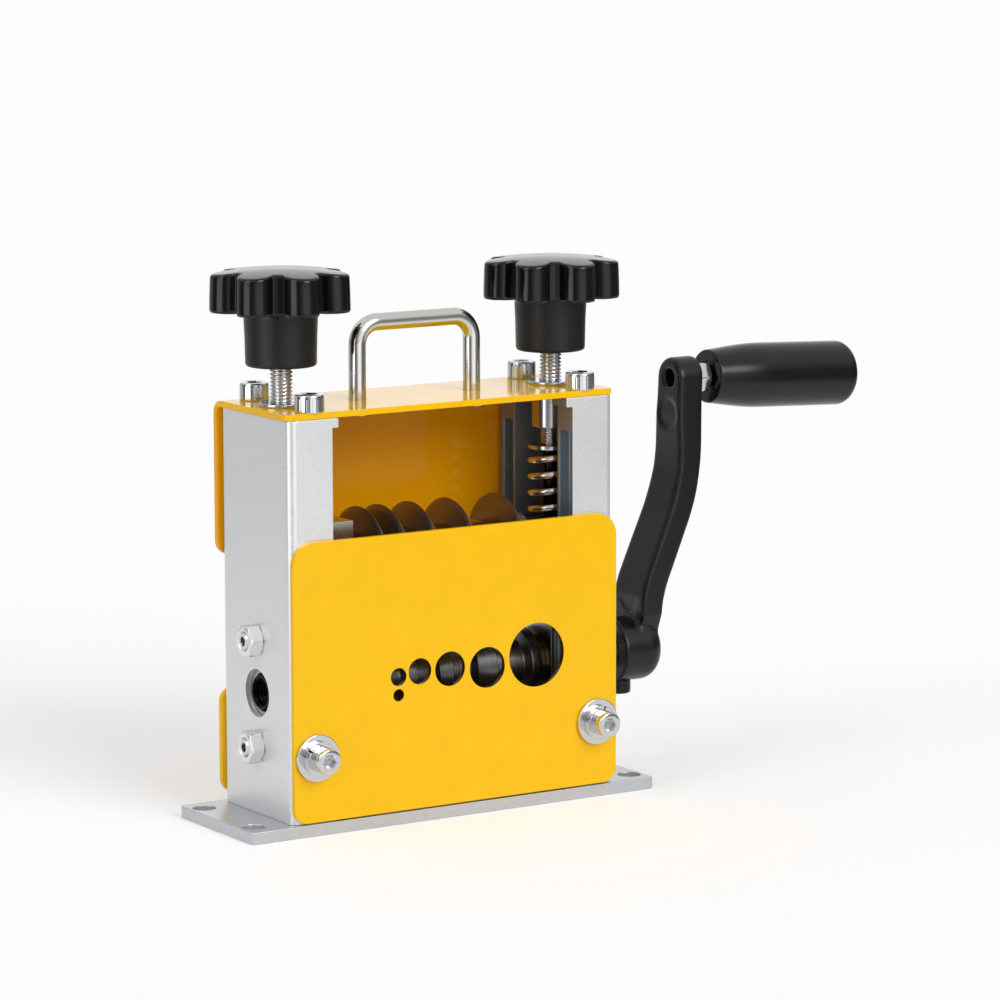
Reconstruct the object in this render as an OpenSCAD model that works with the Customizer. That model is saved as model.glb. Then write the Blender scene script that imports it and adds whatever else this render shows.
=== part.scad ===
// Hand crank wire stripper. Two slotted columns on a base plate carry a grooved drive roller,
// which the crank turns, and a blade shaft that two star knobs raise and lower on screws.
// The origin is the centre of the base plate's underside. +X points to the crank, -Y to the
// operator and +Z up. Lengths are in millimetres.

/* [Base plate] */
// Length of the base plate beyond each column, along X
base_wing = 16.2; // [12:0.2:30]
// Depth of the base plate beyond the columns' fronts and rears, along Y
base_rim = 1.8; // [0.8:0.1:12]
// Thickness of the base plate
base_t = 4.2; // [3.2:0.2:8]
// Radius of the base plate's corners
base_r = 1.5; // [0.5:0.5:5]
// Diameter of the four mounting holes
mount_hole_d = 8; // [4:0.5:8]
// Distance of a mounting hole's centre from the plate's end
mount_edge_x = 5; // [4.6:0.2:6]
// Distance of a mounting hole's centre from the plate's long side
mount_edge_y = 8; // [5:0.5:12]

/* [Columns] */
// Width over both columns, along X
frame_w = 127.6; // [124:0.4:134]
// Depth of a column, along Y
frame_depth = 46.4; // [44:0.2:48]
// Height of a column
col_h = 135; // [133:1:150]
// Width of a column, along X
col_w = 16.5; // [15.5:0.5:18]
// Thickness of a column's outer web
web_t = 2.4; // [1.8:0.2:3]
// Thickness of a column's front and rear flanges, along Y
flange_t = 9.7; // [9:0.1:11]
// Radius of a column's outer upright edges
col_r = 2.8; // [1:0.2:4]
// Radius of a column's rear upper edge, under the cover's bend
col_top_r = 1.5; // [1.3:0.1:3]
// Reach of the lip at the top of each flange
lip_reach = 2.4; // [1:0.2:3]
// Height of that lip
lip_h = 3.2; // [2:0.2:5]

/* [Front and rear plates] */
// Thickness of the front and rear plates
sheet_t = 2; // [1.5:0.1:3]
// Overhang of the front plate past each column
front_over = 0.2; // [-1:0.1:3]
// Height of the front plate's upper edge above the blade shaft's axis
front_above = 13.5; // [10:0.1:17]
// Gap under the front plate
front_gap = 0.5; // [0.3:0.1:2]
// Radius of the front plate's upper corners
front_r_top = 8; // [2:1:12]
// Radius of the front plate's lower corners
front_r_low = 5; // [2:1:8]
// Diameter of the small hole under the first feed hole
pilot_d = 4.1; // [2:0.1:5]
// Overhang of the rear plate past each column
rear_over = 0.7; // [-1:0.1:3]
// Depth of the rear plate's upper edge below the drive shaft's axis
rear_below = 2.1; // [0:0.1:10]
// Gap under the rear plate
rear_gap = 2.6; // [0.5:0.1:5]
// Radius of the rear plate's corners
rear_r = 5; // [2:1:8]

/* [Top cover] */
// Overhang of the top cover past each column
cover_over = 0.7; // [-1:0.1:3]
// Thickness of the top cover's sheet
cover_t = 2.1; // [1.5:0.1:3]
// Setback of the cover's front edge from the column fronts
cover_setback = 0.9; // [0:0.1:3]
// Gap between the column rears and the cover's rear leg
cover_rear_gap = 1.4; // [0.5:0.1:2]
// Height of the rear leg's lower edge above the blade shaft's axis
leg_above = 3; // [0:0.1:14]
// Outer radius of the cover's bend
cover_bend_r = 4.5; // [3.6:0.1:4.6]
// Radius of the cover's corners
cover_r = 5; // [2:1:8]

/* [Carry handle] */
// Diameter of the carry handle's rod
handle_d = 6; // [4:0.5:6]
// Distance between the carry handle's legs
handle_span = 45.2; // [36:0.2:47]
// Height of the carry handle above the cover
handle_h = 28.7; // [24:0.1:45]
// Centre line radius of the carry handle's bends
handle_bend_r = 7.5; // [6:0.5:12]
// Distance of the carry handle's middle from the middle of the machine
handle_shift = -1.4; // [-2:0.1:2]

/* [Shafts and blocks] */
// Height of the drive shaft's axis above the base plate, as a share of a column's height
drive_share = 0.304444;
// Diameter of the drive shaft
drive_d = 12; // [10:0.5:12]
// Diameter of the blade shaft
blade_shaft_d = 10; // [8:0.5:10]
// Wall of each shaft bush
bush_wall = 2; // [1.5:0.1:2.5]
// Travel of the blade shaft down from the height shown
blade_drop = 8; // [4:0.5:9]
// Travel of the blade shaft up from the height shown
blade_rise = 5; // [2:0.5:8]
// Gap left between the blades and the roller at the lower end of the travel
blade_least_gap = 0.6; // [0.2:0.1:2]
// Diameter of the hole in each web round the drive shaft
web_hole_d = 16; // [14:0.5:18]
// Reach of the lower blocks past the columns, towards the middle
low_block_reach = 2.3; // [1.5:0.1:5]
// Reach of the right upper block past its column, towards the middle
right_block_reach = 6.8; // [5:0.1:8]
// Length of the left upper block's tall inner cheek
cheek_len = 11; // [9:0.5:12]
// Gap between the cheek and the spring beside it
cheek_gap = 0.9; // [0.5:0.1:2]
// Height of the upper blocks above the blade shaft's axis
block_above = 9; // [8.6:0.1:10]
// Depth of the upper blocks below the blade shaft's axis
block_below = 9.5; // [8.6:0.1:10]
// Height of the cheek above the blade shaft's axis
cheek_above = 17.4; // [14:0.2:20]

/* [Blades and roller] */
// Gap between the blade discs and the front plate
disc_front_gap = 3.7; // [2:0.1:6]
// Thickness of a blade disc
disc_t = 2.4; // [1.6:0.2:2.6]
// Depth of the bevel round a blade disc
bevel_depth = 2; // [1:0.2:3]
// Thickness of the flat left at a blade disc's edge
edge_t = 0.3; // [0.1:0.1:0.6]
// Diameter of the spacers on the blade shaft
spacer_d = 22; // [16:1:24]
// Diameter of the blade shaft's lock nut
lock_nut_d = 27; // [20:1:30]
// Gap between the blade shaft's lock nut and the bush beside it
lock_nut_gap = 0.44; // [0.2:0.02:2]
// Diameter of the drive roller over its lands
roller_d = 24; // [20:1:26]
// Depth of the drive roller's grooves
groove_depth = 3; // [1.5:0.5:4]
// Length of the drive roller's left turned down end
roller_neck_left = 6.7; // [2:0.1:9]
// Length of its right turned down end
roller_neck_right = 2.7; // [1:0.1:6]
// Diameter of the drive roller's turned down ends
roller_end_d = 16; // [15:0.5:18]

/* [Adjusters] */
// Outer diameter of an adjuster screw's thread
screw_d = 7.8; // [6:0.2:8]
// Diameter of an adjuster screw's journal in its block
journal_d = 6; // [4.5:0.5:6]
// Depth of that journal in its block
journal_len = 12.5; // [11:0.5:14]
// Diameter of the pin that retains a journal
retain_pin_d = 3; // [2:0.5:3]
// Diameter of a threaded bush under the cover
nut_bush_d = 13; // [11:0.5:14]
// Diameter of a threaded bush's flange on the cover
nut_flange_d = 15.6; // [14:0.2:18]
// Thickness of that flange
nut_flange_t = 1.2; // [0.8:0.2:2]
// Depth of a threaded bush below the cover, as a share of the height over the upper blocks
nut_bush_share = 0.2835;
// Outer diameter of a spring
spring_d = 15.6; // [14:0.2:16]
// Diameter of the spring wire
wire_d = 2.3; // [1.6:0.1:2.4]
// Pitch of a spring's curls between its closer ends
spring_pitch = 5.7; // [4.5:0.1:7]
// Gap between the curls at a spring's ends
curl_gap = 0.9; // [0.3:0.1:1.5]
// Thickness of a spring collar
collar_t = 1.5; // [1:0.1:2]
// Height of the left knob above the cover
left_knob_gap = 13.4; // [12:0.1:18]
// Height of the right knob above the cover
right_knob_gap = 11.7; // [11:0.1:18]

/* [Star knobs] */
// Diameter of a star knob over its lobes
knob_d = 47.5; // [40:0.5:50]
// Whole height of a star knob
knob_h = 32.7; // [28:0.1:40]
// Height of a star knob's lobes
lobe_h = 14.5; // [10:0.5:16]
// Number of lobes
lobes = 7; // [5:1:9]
// Diameter of a lobe
lobe_d = 12; // [9:0.5:13]
// Diameter of a star knob's core between the lobes
core_d = 35; // [30:1:38]
// Diameter of a star knob's hub
knob_hub_d = 25; // [20:0.5:26]

/* [Crank] */
// Radius of the crank, from the drive shaft to the grip bolt
crank_r = 94.3; // [85:0.1:110]
// Width of the crank arm
arm_w = 14.6; // [12:0.2:16]
// Thickness of the crank arm
arm_t = 8; // [6:0.2:8]
// Outward offset of the arm's upper part
arm_offset = 17.3; // [12:0.1:24]
// Height of the arm's lower bend above the drive shaft
arm_bend_low = 18.6; // [17:0.1:24]
// Height of the arm's upper bend above the drive shaft
arm_bend_high = 58.2; // [50:0.1:66]
// Radius of the arm's bends, on its centre line
arm_bend_r = 18; // [12:1:24]
// Outward lean of the arm's upper part, in degrees
arm_lean = 2.6; // [0:0.2:4]
// Diameter of the crank's hub
hub_d = 22.8; // [20:0.2:26]
// Length of the crank's hub
hub_len = 17; // [15:0.5:20]
// Gap between the right column and the crank's hub
hub_gap = 14.2; // [10:0.1:20]
// Radius of the rounding on the hub's outer end
hub_round = 6; // [2:0.5:8]
// Diameter of the round marks on the arm's inner face
mark_d = 11; // [8:0.5:12]
// Depth of those marks
mark_depth = 0.4; // [0.2:0.1:0.8]

/* [Grip] */
// Length of the grip
grip_len = 60; // [50:0.5:90]
// Diameter of the grip's inner end
grip_end_d = 18.8; // [16:0.2:20]
// Diameter of the grip's body
grip_d = 23; // [20:0.2:26]
// Length over which the grip widens
grip_taper = 22; // [14:1:30]
// Radius of the grip's rounded outer rim
grip_round = 4; // [2:0.5:5]
// Gap between the grip nut and the grip
grip_gap = 1; // [0.4:0.1:2]

/* [Fasteners] */
// Nominal diameter of the studs and plate screws
stud_d = 6; // [5:0.5:6]
// Diameter of a socket screw's head
head_d = 10; // [9:0.5:10]
// Height of a socket screw's head
head_h = 6; // [4:0.5:6]
// Width across the flats of a hexagon socket
key_w = 5; // [4:0.5:5]
// Depth of a hexagon socket
key_depth = 3; // [2:0.5:3.5]
// Width across the flats of a hexagon nut
nut_w = 10; // [9:0.5:10]
// Height of a hexagon nut
nut_h = 5; // [4:0.5:5.5]
// Height of a thin hexagon nut
thin_nut_h = 3; // [2:0.2:3]
// Diameter of a flat washer
washer_d = 16; // [14:0.5:16]
// Thickness of a flat washer
washer_t = 1.6; // [1:0.2:2]
// Diameter of a spring washer
spring_washer_d = 11.6; // [10:0.2:12]
// Thickness of a spring washer
spring_washer_t = 1.6; // [1:0.2:2]
// Height of the front plate screws above the base plate
front_screw_h = 22.6; // [20:0.1:26]
// Height of the rear plate screws above the base plate
rear_screw_h = 20.8; // [16:0.1:24]
// Diameter of the foot screws
foot_d = 5; // [4:0.5:5]
// Diameter of a foot screw's countersunk head
foot_head_d = 9.6; // [8:0.2:10]

/* [Hidden] */

$fn = 64;
LEFT = "left";
RIGHT = "right";

// Overrun of every cut past the face that it opens
cut = 1;
// Radial clearance of a running fit
run_gap = 0.05;
// Radial clearance of a threaded or pressed fit
seat_gap = 0.03;
// Radial clearance of a screw through a plate
screw_gap = 0.12;
// Radial clearance of a shaft or a screw head through an open hole
open_gap = 0.5;
// Clearance of the upper blocks in their slots
slide_gap = 0.25;
// Clearance between faces that turn against each other
thrust_gap = 0.1;
// Clearance that is left at the lower end of the blade shaft's travel
stop_gap = 0.3;
// Clearance that is left at its upper end
rise_gap = 1.1;

// Colours
STEEL = [0.78, 0.79, 0.8];
ZINC = [0.86, 0.87, 0.88];
ALU = [0.76, 0.77, 0.78];
YELLOW = [0.99, 0.77, 0.1];
BLACK = [0.09, 0.09, 0.09];
BRONZE = [0.72, 0.55, 0.32];
BLADE = [0.42, 0.37, 0.33];

// Places of the frame
half_w = frame_w / 2;
half_depth = frame_depth / 2;
col_top = base_t + col_h;
web_in = half_w - web_t;
flange_in = half_w - col_w;
flange_x = half_w - col_w / 2;
flange_y = half_depth - flange_t / 2;
slot_w = frame_depth - 2 * flange_t;
base_len = frame_w + 2 * base_wing;
base_depth = frame_depth + 2 * base_rim;
front_w = frame_w + 2 * front_over;
rear_w = frame_w + 2 * rear_over;
cover_w = frame_w + 2 * cover_over;
cover_top = col_top + cover_t;
front_face = -half_depth - sheet_t;
rear_face = half_depth + sheet_t;
cover_front_y = -half_depth + cover_setback;
cover_rear_y = half_depth + cover_rear_gap + cover_t;
mount_x = base_len / 2 - mount_edge_x;
mount_y = base_depth / 2 - mount_edge_y;
front_screw_z = base_t + front_screw_h;
rear_screw_z = base_t + rear_screw_h;

// Places of the shafts, blocks and adjusters
disc_d = frame_depth - 2 * disc_front_gap;
axis_gap = (disc_d + roller_d) / 2 + blade_drop + blade_least_gap;
drive_z = base_t + drive_share * col_h;
blade_z = drive_z + axis_gap;
spring_wall_gap = 0.3;
adjuster_x = web_in - spring_wall_gap - spring_d / 2;
stud_wall = 1.3;
up_block_low = blade_z - block_below;
up_block_top = blade_z + block_above;
low_block_top = up_block_low - blade_drop - stop_gap;
stud_pitch = 2 * (low_block_top - drive_z - stud_wall) - stud_d;
low_block_in = flange_in - low_block_reach;
right_block_in = flange_in - right_block_reach;
nut_bush_drop = nut_bush_share * (col_top - up_block_top);
front_h = blade_z + front_above - base_t - front_gap;
rear_h = drive_z - rear_below - base_t - rear_gap;
block_y = slot_w / 2 - slide_gap;
up_block_out = web_in - slide_gap;
cheek_out = adjuster_x - spring_d / 2 - cheek_gap;
left_block_in = cheek_out - cheek_len;
stud_out = 7.8;
stud_grip = 8;
low_bush_len = 14;
bush_flange_t = 2;
low_bush_d = drive_d + 2 * bush_wall;
up_bush_d = blade_shaft_d + 2 * bush_wall;
bush_flange_w = 2;
up_flange_t = 1.5;
journal_wall = 0.8;
up_bush_end = adjuster_x - journal_d / 2 - journal_wall;
shaft_end_gap = 0.3;
spring_low = up_block_top + thrust_gap;
collar_low = col_top - nut_bush_drop - blade_rise - rise_gap - collar_t;
spring_h = collar_low - thrust_gap - spring_low;
journal_low = up_block_top - journal_len;
neck_depth = 1;
retain_neck_d = journal_d - 2 * neck_depth;
retain_z = journal_low + retain_pin_d;
knob_bore_depth = 16;

// Room for the blades along their shaft, from its collar to the right bush
shaft_collar_len = 2;
shaft_collar_d = 16;
shaft_collar_x = -left_block_in + up_flange_t + shaft_end_gap;
stack_start = shaft_collar_x + shaft_collar_len;
stack_room = right_block_in - up_flange_t - stack_start;

// Feed holes: places and diameters as shares of that room, and heights as shares of the
// distance between the shafts
feed_x_shares = [0.0907, 0.212, 0.385, 0.6003, 0.8894];
feed_d_shares = [0.0872, 0.1279, 0.1701, 0.202, 0.3198];
feed_rise_shares = [0.13, 0.157, 0.147, 0.12, 0.177];
pilot_rise_share = -0.025;
// Width of a roller groove's floor as a share of its feed hole
groove_floor_share = 0.5;
// Length of a groove's sloping flank as a share of the room for the blades
groove_flank_share = 0.0218;
function feed_x(i) = stack_start + feed_x_shares[i] * stack_room;
function feed_z(i) = drive_z + feed_rise_shares[i] * axis_gap;
function feed_d(i) = feed_d_shares[i] * stack_room;
feed_count = len(feed_x_shares);

// Places of the spacers and the lock nut
stack_end = feed_x(feed_count - 1) + disc_t / 2;
lock_nut_end = stack_start + stack_room - lock_nut_gap;
function spacer_low(i) = i == 0 ? stack_start : feed_x(i - 1) + disc_t / 2;
function spacer_high(i) = feed_x(i) - disc_t / 2;

// Places along the roller and the drive shaft
roller_end_x = low_block_in - bush_flange_t - shaft_end_gap;
roller_low = roller_neck_left - roller_end_x;
roller_high = roller_end_x - roller_neck_right;
drive_recess = 1.3;
drive_left_end = half_w - drive_recess;
roller_pin_d = 4;
roller_pin_inset = 4;
roller_pin_sink = 0.5;

// Places of the crank and the grip
hub_in = half_w + hub_gap;
hub_out = hub_in + hub_len;
arm_inset = 1;
arm_x = hub_out - arm_inset - arm_t / 2;
arm_top_x = arm_x + arm_offset;
bolt_z = drive_z + crank_r;
bolt_x = arm_top_x + (crank_r - arm_bend_high) * tan(arm_lean);
bolt_d = stud_d;
bolt_head_h = 4;
bolt_recess = 1.5;
bolt_sink = 2;
bolt_bore_depth = bolt_head_h + bolt_sink;
grip_start = arm_t / 2 + nut_h + grip_gap;
clamp_d = 5;
clamp_head_d = 8.4;
clamp_head_h = 5;
clamp_key_w = 4;
clamp_inset = 4;
clamp_x = hub_in + clamp_inset;
clamp_seat = 0.9;
clamp_seat_gap = 0.2;
mark_rise = 18.7;
mark_high_drop = 12.6;

// A rounded rectangle centred at the origin
module rounded(w, h, r) {
    square([w - 2 * r, h], center = true);
    square([w, h - 2 * r], center = true);
    for (x = [-1, 1], y = [-1, 1])
        translate([x * (w / 2 - r), y * (h / 2 - r)]) circle(r);
}

// A rectangle on the X axis whose upper and lower corners have their own radii
module plate_outline(w, h, r_top, r_low) {
    translate([-w / 2, r_low]) square([w, h - r_low - r_top]);
    translate([-w / 2 + r_top, h - 2 * r_top]) square([w - 2 * r_top, 2 * r_top]);
    translate([-w / 2 + r_low, 0]) square([w - 2 * r_low, 2 * r_low]);
    for (x = [-1, 1]) {
        translate([x * (w / 2 - r_top), h - r_top]) circle(r_top);
        translate([x * (w / 2 - r_low), r_low]) circle(r_low);
    }
}

// Mirrors what is drawn for the right side to the left one
module on_side(side) {
    mirror([side == LEFT ? 1 : 0, 0, 0]) children();
}

// A cylinder along X, from x0 to x1
module x_rod(d, x0, x1) {
    translate([x0, 0, 0]) rotate([0, 90, 0]) cylinder(d = d, h = x1 - x0);
}

// A cylinder along Y, from y0 to y1
module y_rod(d, y0, y1) {
    translate([0, y0, 0]) rotate([-90, 0, 0]) cylinder(d = d, h = y1 - y0);
}

// A hexagonal prism on the XY plane, measured across its flats
module hexagon(w, h) {
    cylinder(d = w / cos(30), h = h, $fn = 6);
}

// A socket head screw whose head stands on the XY plane and whose shank points down
module socket_screw(d, shank, hd, hh, key, key_deep) {
    difference() {
        union() {
            cylinder(d = hd, h = hh);
            translate([0, 0, -shank]) cylinder(d = d, h = shank);
        }
        translate([0, 0, hh - key_deep]) hexagon(key, key_deep + cut);
    }
}

// A ring on the XY plane
module ring(od, id, h) {
    difference() {
        cylinder(d = od, h = h);
        translate([0, 0, -cut]) cylinder(d = id, h = h + 2 * cut);
    }
}

// A tube along X, from x0 to x1
module x_tube(od, id, x0, x1) {
    difference() {
        x_rod(od, x0, x1);
        x_rod(id, x0 - cut, x1 + cut);
    }
}

// A hexagon nut on the XY plane
module hex_nut(w, h, bore) {
    difference() {
        hexagon(w, h);
        translate([0, 0, -cut]) cylinder(d = bore, h = h + 2 * cut);
    }
}

// Base plate with its mounting holes and the countersunk holes of the foot screws
foot_head_h = (foot_head_d - foot_d) / 2;
module base_plate() {
    color(ALU) difference() {
        linear_extrude(base_t) rounded(base_len, base_depth, base_r);
        for (x = [-1, 1], y = [-1, 1]) {
            translate([x * mount_x, y * mount_y, -cut])
                cylinder(d = mount_hole_d, h = base_t + 2 * cut);
            translate([x * flange_x, y * flange_y, 0]) {
                translate([0, 0, -cut]) cylinder(d = foot_d + 2 * seat_gap, h = base_t + 2 * cut);
                translate([0, 0, -cut])
                    cylinder(d1 = foot_head_d + 2 * (seat_gap + cut), d2 = foot_d,
                             h = foot_head_h + seat_gap + cut);
            }
        }
    }
}

// Countersunk screws that hold the columns on the base plate
foot_grip = 12;
module foot_screws() {
    color(ZINC) for (x = [-1, 1], y = [-1, 1]) translate([x * flange_x, y * flange_y, 0])
        difference() {
            union() {
                cylinder(d1 = foot_head_d, d2 = foot_d, h = foot_head_h);
                cylinder(d = foot_d, h = base_t + foot_grip);
            }
            translate([0, 0, -cut]) hexagon(foot_d / 2, cut + foot_head_h / 2);
        }
}

// Slotted column: a channel that opens towards the middle, with a lip at its top
module column(side) {
    tapped = stud_d + 2 * seat_gap;
    color(ALU) on_side(side) difference() {
        translate([0, 0, base_t]) union() {
            linear_extrude(col_h) {
                translate([flange_x, 0]) rounded(col_w, frame_depth, col_r);
                translate([flange_in, -half_depth]) square([col_w / 2, frame_depth]);
            }
            translate([flange_in - lip_reach, -half_depth, col_h - lip_h])
                cube([lip_reach + col_w / 2, frame_depth, lip_h]);
        }
        translate([flange_in - lip_reach - cut, -slot_w / 2, base_t - cut])
            cube([web_in - flange_in + lip_reach + cut, slot_w, col_h + 2 * cut]);
        translate([0, 0, drive_z]) {
            x_rod(web_hole_d, web_in - cut, half_w + cut);
            for (z = [-1, 1]) translate([0, 0, z * stud_pitch / 2])
                x_rod(tapped, web_in - cut, half_w + cut);
        }
        translate([flange_x, 0, front_screw_z]) y_rod(tapped, -half_depth - cut, -slot_w / 2 + cut);
        translate([flange_x, 0, rear_screw_z]) y_rod(tapped, slot_w / 2 - cut, half_depth + cut);
        for (y = [-1, 1]) {
            translate([flange_x, y * flange_y, base_t - cut])
                cylinder(d = foot_d + 2 * seat_gap, h = foot_grip + 2 * cut);
            translate([adjuster_x, y * flange_y, col_top - cover_grip - cut])
                cylinder(d = tapped, h = cover_grip + 2 * cut);
        }
        translate([flange_in - lip_reach - cut, half_depth - col_top_r, col_top - col_top_r])
            rotate([90, 0, 90]) linear_extrude(col_w + lip_reach + 2 * cut) difference() {
                square(col_top_r + cut);
                circle(col_top_r);
            }
    }
}

// Front plate with the feed holes
module front_plate() {
    color(YELLOW) difference() {
        translate([0, -half_depth, base_t + front_gap]) rotate([90, 0, 0])
            linear_extrude(sheet_t) plate_outline(front_w, front_h, front_r_top, front_r_low);
        for (i = [0 : feed_count - 1])
            translate([feed_x(i), 0, feed_z(i)])
                y_rod(feed_d(i), front_face - cut, -half_depth + cut);
        translate([feed_x(0), 0, drive_z + pilot_rise_share * axis_gap])
            y_rod(pilot_d, front_face - cut, -half_depth + cut);
        for (x = [-1, 1]) translate([x * flange_x, 0, front_screw_z])
            y_rod(stud_d + 2 * screw_gap, front_face - cut, -half_depth + cut);
    }
}

// Places two children on the front plate's screw places, their +Z out of the plate
module at_front_screws(out) {
    for (x = [-1, 1])
        translate([x * flange_x, front_face - out, front_screw_z]) rotate([90, 0, 0]) children();
}

module front_flat_washers() {
    color(ZINC) at_front_screws(0) ring(washer_d, stud_d + 2 * screw_gap, washer_t);
}

module front_spring_washers() {
    color(ZINC) at_front_screws(washer_t)
        ring(spring_washer_d, stud_d + 2 * screw_gap, spring_washer_t);
}

plate_grip = 8;
module front_screws() {
    stack = washer_t + spring_washer_t;
    color(ZINC) at_front_screws(stack)
        socket_screw(stud_d, stack + sheet_t + plate_grip, head_d, head_h, key_w, key_depth);
}

// Rear plate under the wire exit
module rear_plate() {
    color(YELLOW) difference() {
        translate([0, rear_face, base_t + rear_gap]) rotate([90, 0, 0])
            linear_extrude(sheet_t) plate_outline(rear_w, rear_h, rear_r, rear_r);
        for (x = [-1, 1]) translate([x * flange_x, 0, rear_screw_z])
            y_rod(stud_d + 2 * screw_gap, half_depth - cut, rear_face + cut);
    }
}

module rear_screws() {
    color(ZINC) for (x = [-1, 1])
        translate([x * flange_x, rear_face, rear_screw_z]) rotate([-90, 0, 0])
            socket_screw(stud_d, sheet_t + plate_grip, head_d, head_h, key_w, key_depth);
}

// Top cover: a sheet bent down at the rear
cover_grip = 11;
module top_cover() {
    leg_low = blade_z + leg_above;
    inner_r = cover_bend_r - cover_t;
    bend_y = cover_rear_y - cover_bend_r;
    bend_z = cover_top - cover_bend_r;
    front_r = cover_t;
    color(YELLOW) difference() {
        union() {
            translate([0, 0, col_top]) linear_extrude(cover_t) {
                translate([-cover_w / 2, cover_front_y + front_r])
                    square([cover_w, bend_y - cover_front_y - front_r]);
                translate([-cover_w / 2 + front_r, cover_front_y])
                    square([cover_w - 2 * front_r, 2 * front_r]);
                for (x = [-1, 1])
                    translate([x * (cover_w / 2 - front_r), cover_front_y + front_r]) circle(front_r);
            }
            translate([cover_w / 2, bend_y, bend_z]) rotate([0, -90, 0])
                linear_extrude(cover_w) difference() {
                    intersection() {
                        circle(cover_bend_r);
                        square(cover_bend_r);
                    }
                    circle(inner_r);
                }
            translate([0, cover_rear_y, leg_low]) rotate([90, 0, 0]) linear_extrude(cover_t) {
                translate([-cover_w / 2, cover_r]) square([cover_w, bend_z - leg_low - cover_r]);
                translate([-cover_w / 2 + cover_r, 0]) square([cover_w - 2 * cover_r, 2 * cover_r]);
                for (x = [-1, 1]) translate([x * (cover_w / 2 - cover_r), cover_r]) circle(cover_r);
            }
        }
        for (x = [-1, 1]) {
            for (y = [-1, 1]) translate([x * adjuster_x, y * flange_y, col_top - cut])
                cylinder(d = stud_d + 2 * screw_gap, h = cover_t + 2 * cut);
            translate([x * adjuster_x, 0, col_top - cut])
                cylinder(d = nut_bush_d + 2 * seat_gap, h = cover_t + 2 * cut);
            translate([handle_shift + x * handle_span / 2, 0, col_top - cut])
                cylinder(d = handle_d + 2 * seat_gap, h = cover_t + 2 * cut);
        }
    }
}

module cover_screws() {
    color(ZINC) for (x = [-1, 1], y = [-1, 1])
        translate([x * adjuster_x, y * flange_y, cover_top])
            socket_screw(stud_d, cover_t + cover_grip, head_d, head_h, key_w, key_depth);
}

// Carry handle: a rod bent into a flat arch, with its ends through the cover
module carry_handle() {
    bar_z = cover_top + handle_h - handle_d / 2;
    leg_low = col_top - thin_nut_h;
    bend_z = bar_z - handle_bend_r;
    half_bar = handle_span / 2 - handle_bend_r;
    color(STEEL) translate([handle_shift, 0, 0]) {
        translate([0, 0, bar_z]) x_rod(handle_d, -half_bar, half_bar);
        for (side = [LEFT, RIGHT]) on_side(side) {
            translate([half_bar, 0, bend_z]) rotate([90, 0, 0])
                rotate_extrude(angle = 90) translate([handle_bend_r, 0]) circle(d = handle_d);
            translate([handle_span / 2, 0, leg_low]) cylinder(d = handle_d, h = bend_z - leg_low);
        }
    }
}

module handle_nuts() {
    color(ZINC) for (x = [-1, 1])
        translate([handle_shift + x * handle_span / 2, 0, col_top - thin_nut_h])
            hex_nut(nut_w, thin_nut_h, handle_d + 2 * seat_gap);
}

// Threaded bush of an adjuster screw, with its flange on the cover
module threaded_bush(side) {
    color(STEEL) on_side(side) translate([adjuster_x, 0, 0]) difference() {
        union() {
            translate([0, 0, cover_top]) cylinder(d = nut_flange_d, h = nut_flange_t);
            translate([0, 0, col_top - nut_bush_drop])
                cylinder(d = nut_bush_d, h = nut_bush_drop + cover_t);
        }
        translate([0, 0, col_top - nut_bush_drop - cut])
            cylinder(d = screw_d + 2 * run_gap, h = nut_bush_drop + cover_t + nut_flange_t + 2 * cut);
    }
}

// Lower bearing block, bolted against the column's web
module lower_block(side) {
    color(STEEL) on_side(side) difference() {
        translate([low_block_in, -block_y, base_t])
            cube([web_in - low_block_in, 2 * block_y, low_block_top - base_t]);
        translate([0, 0, drive_z]) {
            x_rod(low_bush_d + 2 * seat_gap, low_block_in - cut, low_block_in + low_bush_len);
            x_rod(drive_d + 2 * open_gap, low_block_in - cut, web_in + cut);
            for (z = [-1, 1]) translate([0, 0, z * stud_pitch / 2])
                x_rod(stud_d + 2 * seat_gap, web_in - stud_grip, web_in + cut);
        }
    }
}

// Flanged bush of the drive shaft
module lower_bush(side) {
    color(BRONZE) on_side(side) translate([0, 0, drive_z]) difference() {
        union() {
            x_rod(low_bush_d, low_block_in, low_block_in + low_bush_len);
            x_rod(low_bush_d + 2 * bush_flange_w, low_block_in - bush_flange_t, low_block_in);
        }
        x_rod(drive_d + 2 * run_gap, low_block_in - bush_flange_t - cut,
              low_block_in + low_bush_len + cut);
    }
}

// Studs that hold the lower blocks, with a hexagon socket in their outer ends
module block_studs() {
    stud_key_w = stud_d / 2;
    color(STEEL) for (side = [LEFT, RIGHT], z = [-1, 1])
        on_side(side) translate([0, 0, drive_z + z * stud_pitch / 2]) difference() {
            x_rod(stud_d, web_in - stud_grip + seat_gap, half_w + stud_out);
            translate([half_w + stud_out - key_depth, 0, 0]) rotate([0, 90, 0])
                hexagon(stud_key_w, key_depth + cut);
        }
}

module stud_nuts() {
    color(ZINC) for (side = [LEFT, RIGHT], z = [-1, 1])
        on_side(side) translate([half_w, 0, drive_z + z * stud_pitch / 2])
            rotate([0, 90, 0]) rotate([0, 0, 30]) hex_nut(nut_w, nut_h, stud_d + 2 * seat_gap);
}

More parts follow.
